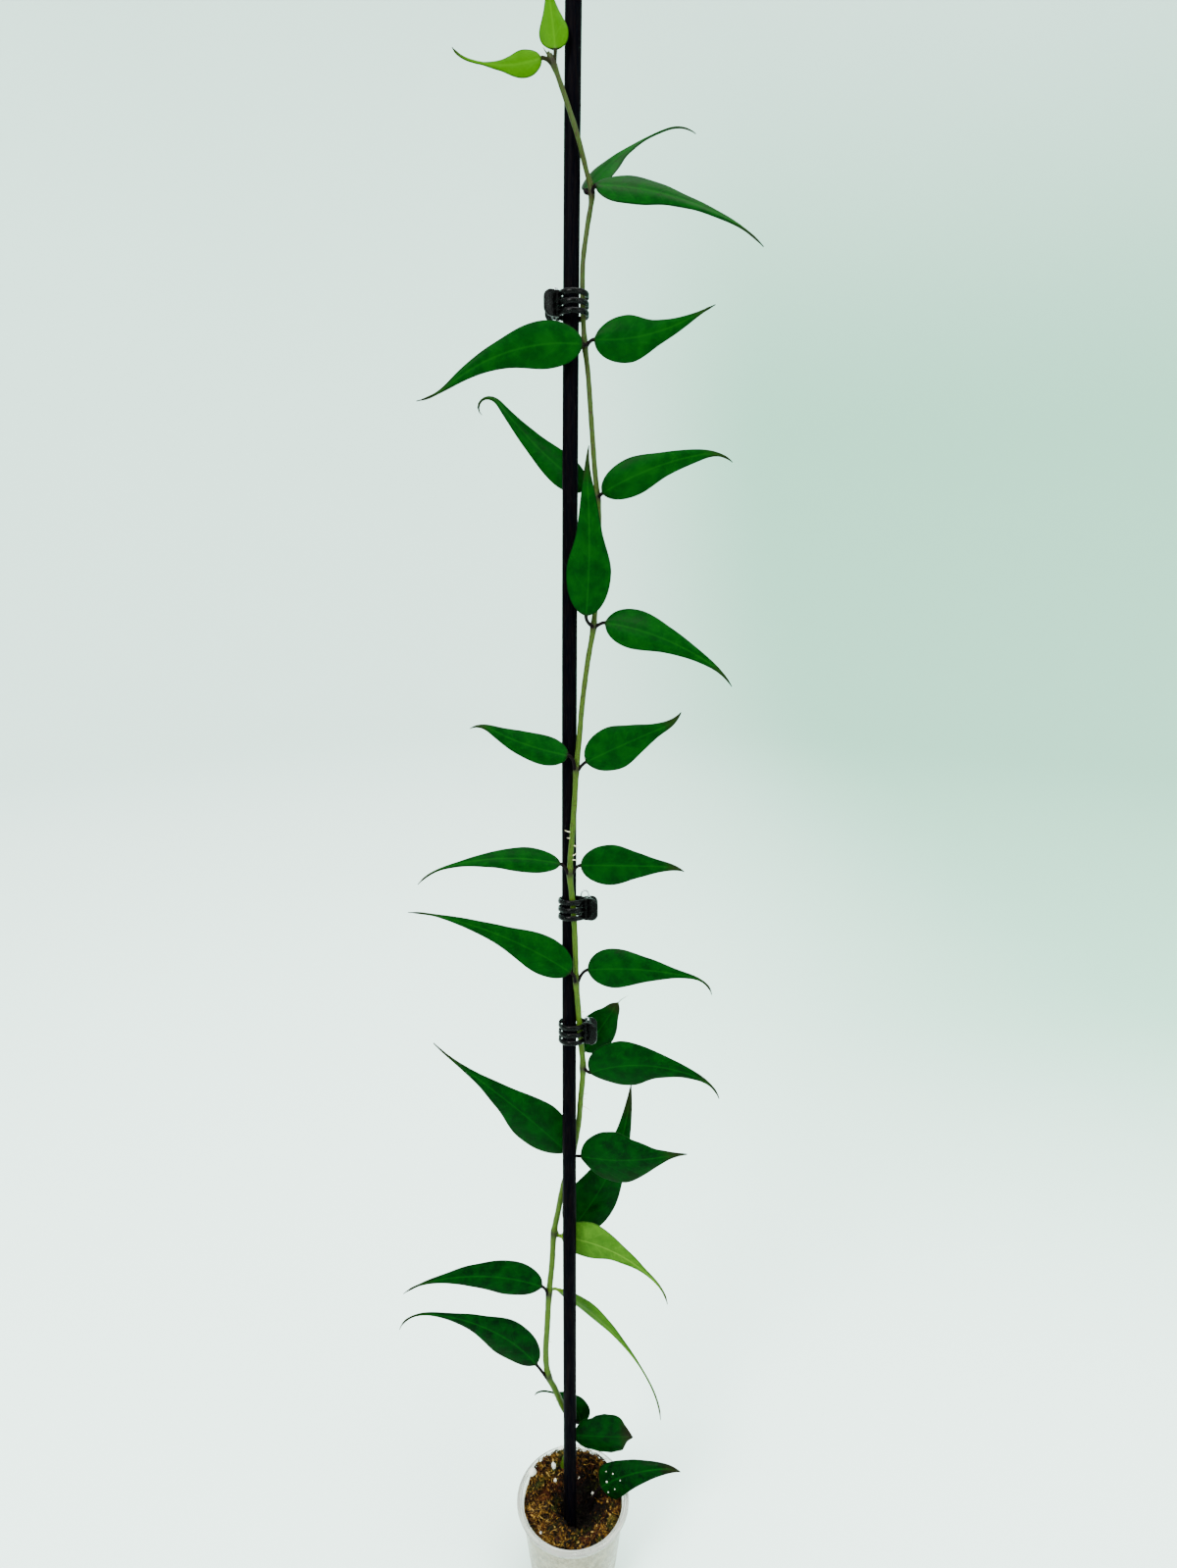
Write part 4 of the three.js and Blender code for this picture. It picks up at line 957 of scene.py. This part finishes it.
# height up the stem, side, length and radius of each root
rootTable = ((374, -1, 2.4, 0.26), (371.5, -0.7, 1.6, 0.22), (368.5, 1, 2.2, 0.2), (364.5, 0.8, 1.8, 0.24),
             (362.8, 1, 1.3, 0.22), (259, 0.9, 2.2, 0.16), (256.5, 1, 1.6, 0.14), (253, 1, 4.2, 0.17),
             (250.5, 0.8, 1.4, 0.16), (305, 0.8, 1.2, 0.2), (298, 1, 1.5, 0.2), (146, -0.9, 1.2, 0.2),
             (141, 0.9, 1.4, 0.2), (109, -1, 1.3, 0.2), (106, -0.8, 1.2, 0.2))
roots = []
for height, side, length, radius in rootTable:
    edge = stemAt(height) + np.array([side, -0.45, 0]) * float(stemRadiusAt(height)) * 0.85
    way = (side * 0.9, -0.35, dice.uniform(-0.3, 0.4))
    roots.append(sprout(edge, way, length, radius, (dice.uniform(-0.3, 0.3), 0, dice.uniform(-0.4, 0.5))))
meshObject("aerial_roots", joined(roots), paleRoot())

budTop = stemAt(638.5)
buds = [sprout(budTop, (-0.72, -0.1, 0.62), 4.2, 0.34, (0.1, 0, 0.1)),
        sprout(budTop, (-0.3, -0.3, 0.8), 2.4, 0.5, (0, 0, 0)),
        sprout(budTop, (-0.55, 0.35, 0.5), 2.8, 0.3, (0, 0.1, 0.1))]
for height in jointHeights[1:13]:
    edge = stemAt(height + 1.2)
    buds.append(sprout(edge, (0.25, -0.75, 0.6), 2.3, 0.42, (0, 0, 0.15)))
# dried thread at the tip of leaf 18
driedTip = midrib(leafTable[17], np.array([0.97]))[0]
buds.append(sprout(driedTip, (0.55, 0.3, 0.78), 5.2, 0.2, (0.35, 0, -0.2)))
meshObject("leaf_axil_buds", joined(buds), bark)
print("perlite, roots and buds made")


# the plant clips
hingeReach, ringHalfWidth, ringHalfDepth = 6.7, 5.2, 6
fingerThickness, fingerHeight, fingerPitch, jawHeight = 1.2, 2.1, 3.1, 8.8
padLength, padCorner, padThickness, padSplay = 4.9, 2.8, 1.4, 35


def glossyBlack():
    # injection-moulded black plastic: soft gloss with fine handling scratches and a little dust
    material = newMaterial("blackClipPlastic")
    place = objectPlace()
    dust = noise(place, 900, 4, 0.6)
    scratch = noise(objectPlace((1, 1, 0.08)), 4200, 2)
    colour = tint(between(dust, 0.55, 0.8, 0, 0.5), "010101", "030304")
    return dressed(material, {"Base Color": colour, "Roughness": between(dust, 0.35, 0.75, 0.2, 0.42),
        "Specular IOR Level": 0.05, "Normal": bump(scratch, 0.12, 0.0001)})


def springSteel():
    # drawn steel wire, bright with fine drawing lines
    material = newMaterial("springSteelWire")
    drawn = noise(objectPlace((1, 1, 0.2)), 5200, 2)
    return dressed(material, {"Base Color": tint(drawn, "b4b6bb", "8e9096"), "Metallic": 1,
        "Roughness": between(drawn, 0.3, 0.7, 0.18, 0.34)})


clipPieces = [{"z": 563.8, "side": -1, "shift": 0.8, "fore": 0.8, "tip": 0, "loopReach": 1.1, "loopRise": 0.8},
              {"z": 341.4, "side": 1, "shift": 1.2, "fore": 0.9, "tip": 8, "loopReach": 3.1, "loopRise": 2.2},
              {"z": 288.6, "side": 1, "shift": 1.2, "fore": 0.8, "tip": 6, "loopReach": 1.4, "loopRise": 0.8}]


def finger(height, way):
    # flat curved bar round the stem, way is -1 for the front jaw and 1 for the back one
    a = np.radians(np.linspace(34, 178, 26))
    arc = np.stack([ringHalfWidth * np.cos(a), way * ringHalfDepth * np.sin(a), np.full(len(a), height)], -1)
    first = [(hingeReach - inward, way * depth, height) for inward, depth in ((1.1, 2.2), (1.5, 2.5), (1.9, 2.7))]
    path = np.concatenate([first, arc])
    radii = np.full(len(path), fingerThickness / 2)
    radii[-3:] *= np.array([0.95, 0.75, 0.3])
    return tube(path, radii, 16, (0, 0, 1), fingerHeight / fingerThickness)


def pad(way):
    half, corner = jawHeight / 2, padCorner
    outline = [(0, -half)]
    for lift, start in ((corner - half, -90), (half - corner, 0)):
        a = np.radians(np.linspace(start, start + 90, 7))
        outline += zip(padLength - corner + corner * np.cos(a), lift + corner * np.sin(a))
    outline += [(0, half)]
    parts = [roundedSolid(outline, -padThickness / 2, padThickness / 2, 0.3)]
    for reach in (1.5, 2.3, 3.1):  # grip ridges
        low = (reach - 0.16, 1.2 - half, padThickness / 2 - 0.16)
        parts.append(block(low, (reach + 0.16, half - 1.2, padThickness / 2), 0.08))
    # stand the plate up: its outline's second axis becomes the height
    upright = np.array([[1, 0, 0], [0, 0, -1], [0, 1, 0]])
    a = math.radians(way * padSplay)
    splay = np.array([[math.cos(a), -math.sin(a), 0], [math.sin(a), math.cos(a), 0], [0, 0, 1]])
    flip = np.diag([1, -way, 1]) if way > 0 else np.eye(3)
    return moved(joined(parts), splay @ flip @ upright, (hingeReach - 0.7, way * 2.2, 0))


def ear(way, low, high):
    # round knuckle on the pin, and the arm that carries it
    line = [(0.73, low + 0.02), (1.05, low), (1.15, low + 0.1), (1.15, high - 0.1), (1.05, high), (0.73, high - 0.02)]
    start = (hingeReach - 0.95, min(0, way * 1.9), low + 0.03)
    arm = block(start, (hingeReach + 0.95, max(0, way * 1.9), high - 0.03), 0.12)
    return [moved(lathe(line, 24), None, (hingeReach, 0, 0)), arm]


def jaw(way):
    lowY, highY = (-3, -1.5) if way < 0 else (1.5, 3)
    parts = [block((hingeReach - 1.9, lowY, -jawHeight / 2), (hingeReach + 0.6, highY, jawHeight / 2), 0.35), pad(way)]
    ears = ((-4.3, -3.2), (3.2, 4.3)) if way < 0 else ((-2.9, -1.8), (1.8, 2.9))
    for low, high in ears:
        parts += ear(way, low, high)
    return joined(parts + [finger(height, way) for height in (-fingerPitch, 0, fingerPitch)])


def coilSpring(reach, rise):
    # five turns round the pin, and the wire loop that stands on top of it
    turns = np.linspace(0, 5 * 2 * np.pi, 121)
    helix = np.stack([0.8 * np.cos(turns), 0.8 * np.sin(turns), np.linspace(-1.3, 1.3, len(turns))], -1)
    pinLine = [(0.02, -4.9), (0.35, -4.9), (0.5, -4.8), (0.5, -4.55), (0.4, -4.45), (0.4, 4.5), (0.52, 4.6),
               (0.52, 4.9), (0.35, 5.08), (0.02, 5.1)]
    a = np.linspace(0, np.pi, 17)
    loop = np.stack([-reach / 2 * (1 - np.cos(a)), 0 * a, 4.95 + rise * np.sin(a)], -1)
    loop = np.concatenate([[[0, 0, 4.5], [0, 0, 4.7]], loop])
    parts = [tube(helix, 0.23, 8, (0, 0, 1)), lathe(pinLine, 20), tube(loop, 0.28, 10, (0, 1, 0))]
    return moved(joined(parts), None, (hingeReach, 0, 0))


def seated(part, clip):
    # set on the leaning stake, on the stem's side of it
    lean = math.radians(stakePiece["lean"] + clip["tip"])
    tilt = np.array([[1, 0, 0], [0, math.cos(lean), math.sin(lean)], [0, -math.sin(lean), math.cos(lean)]])
    matrix = tilt @ np.diag([clip["side"], 1, 1])
    return moved(part, matrix, (stakeX(clip["z"]) + clip["shift"], stakeY(clip["z"]) - clip["fore"], clip["z"]))


clipPlastic, wire = glossyBlack(), springSteel()
for i, clip in enumerate(clipPieces, 1):
    spring = coilSpring(clip["loopReach"], clip["loopRise"])
    for piece, node, made, look, body, slot, sharp in (
            ("front_grip", "front_jaw", jaw(-1), clipPlastic, bodyName, "clip_black", 45),
            ("back_grip", "back_jaw", jaw(1), clipPlastic, f"clip_{i}_back", "clip_black", 45),
            ("coil", "spring", spring, wire, bodyName, "spring_steel", 50)):
        meshObject(f"clip_{i}_{piece}", seated(made, clip), look, body, [f"clip_{i}_{node}"], sharp)
print("3 clips made")
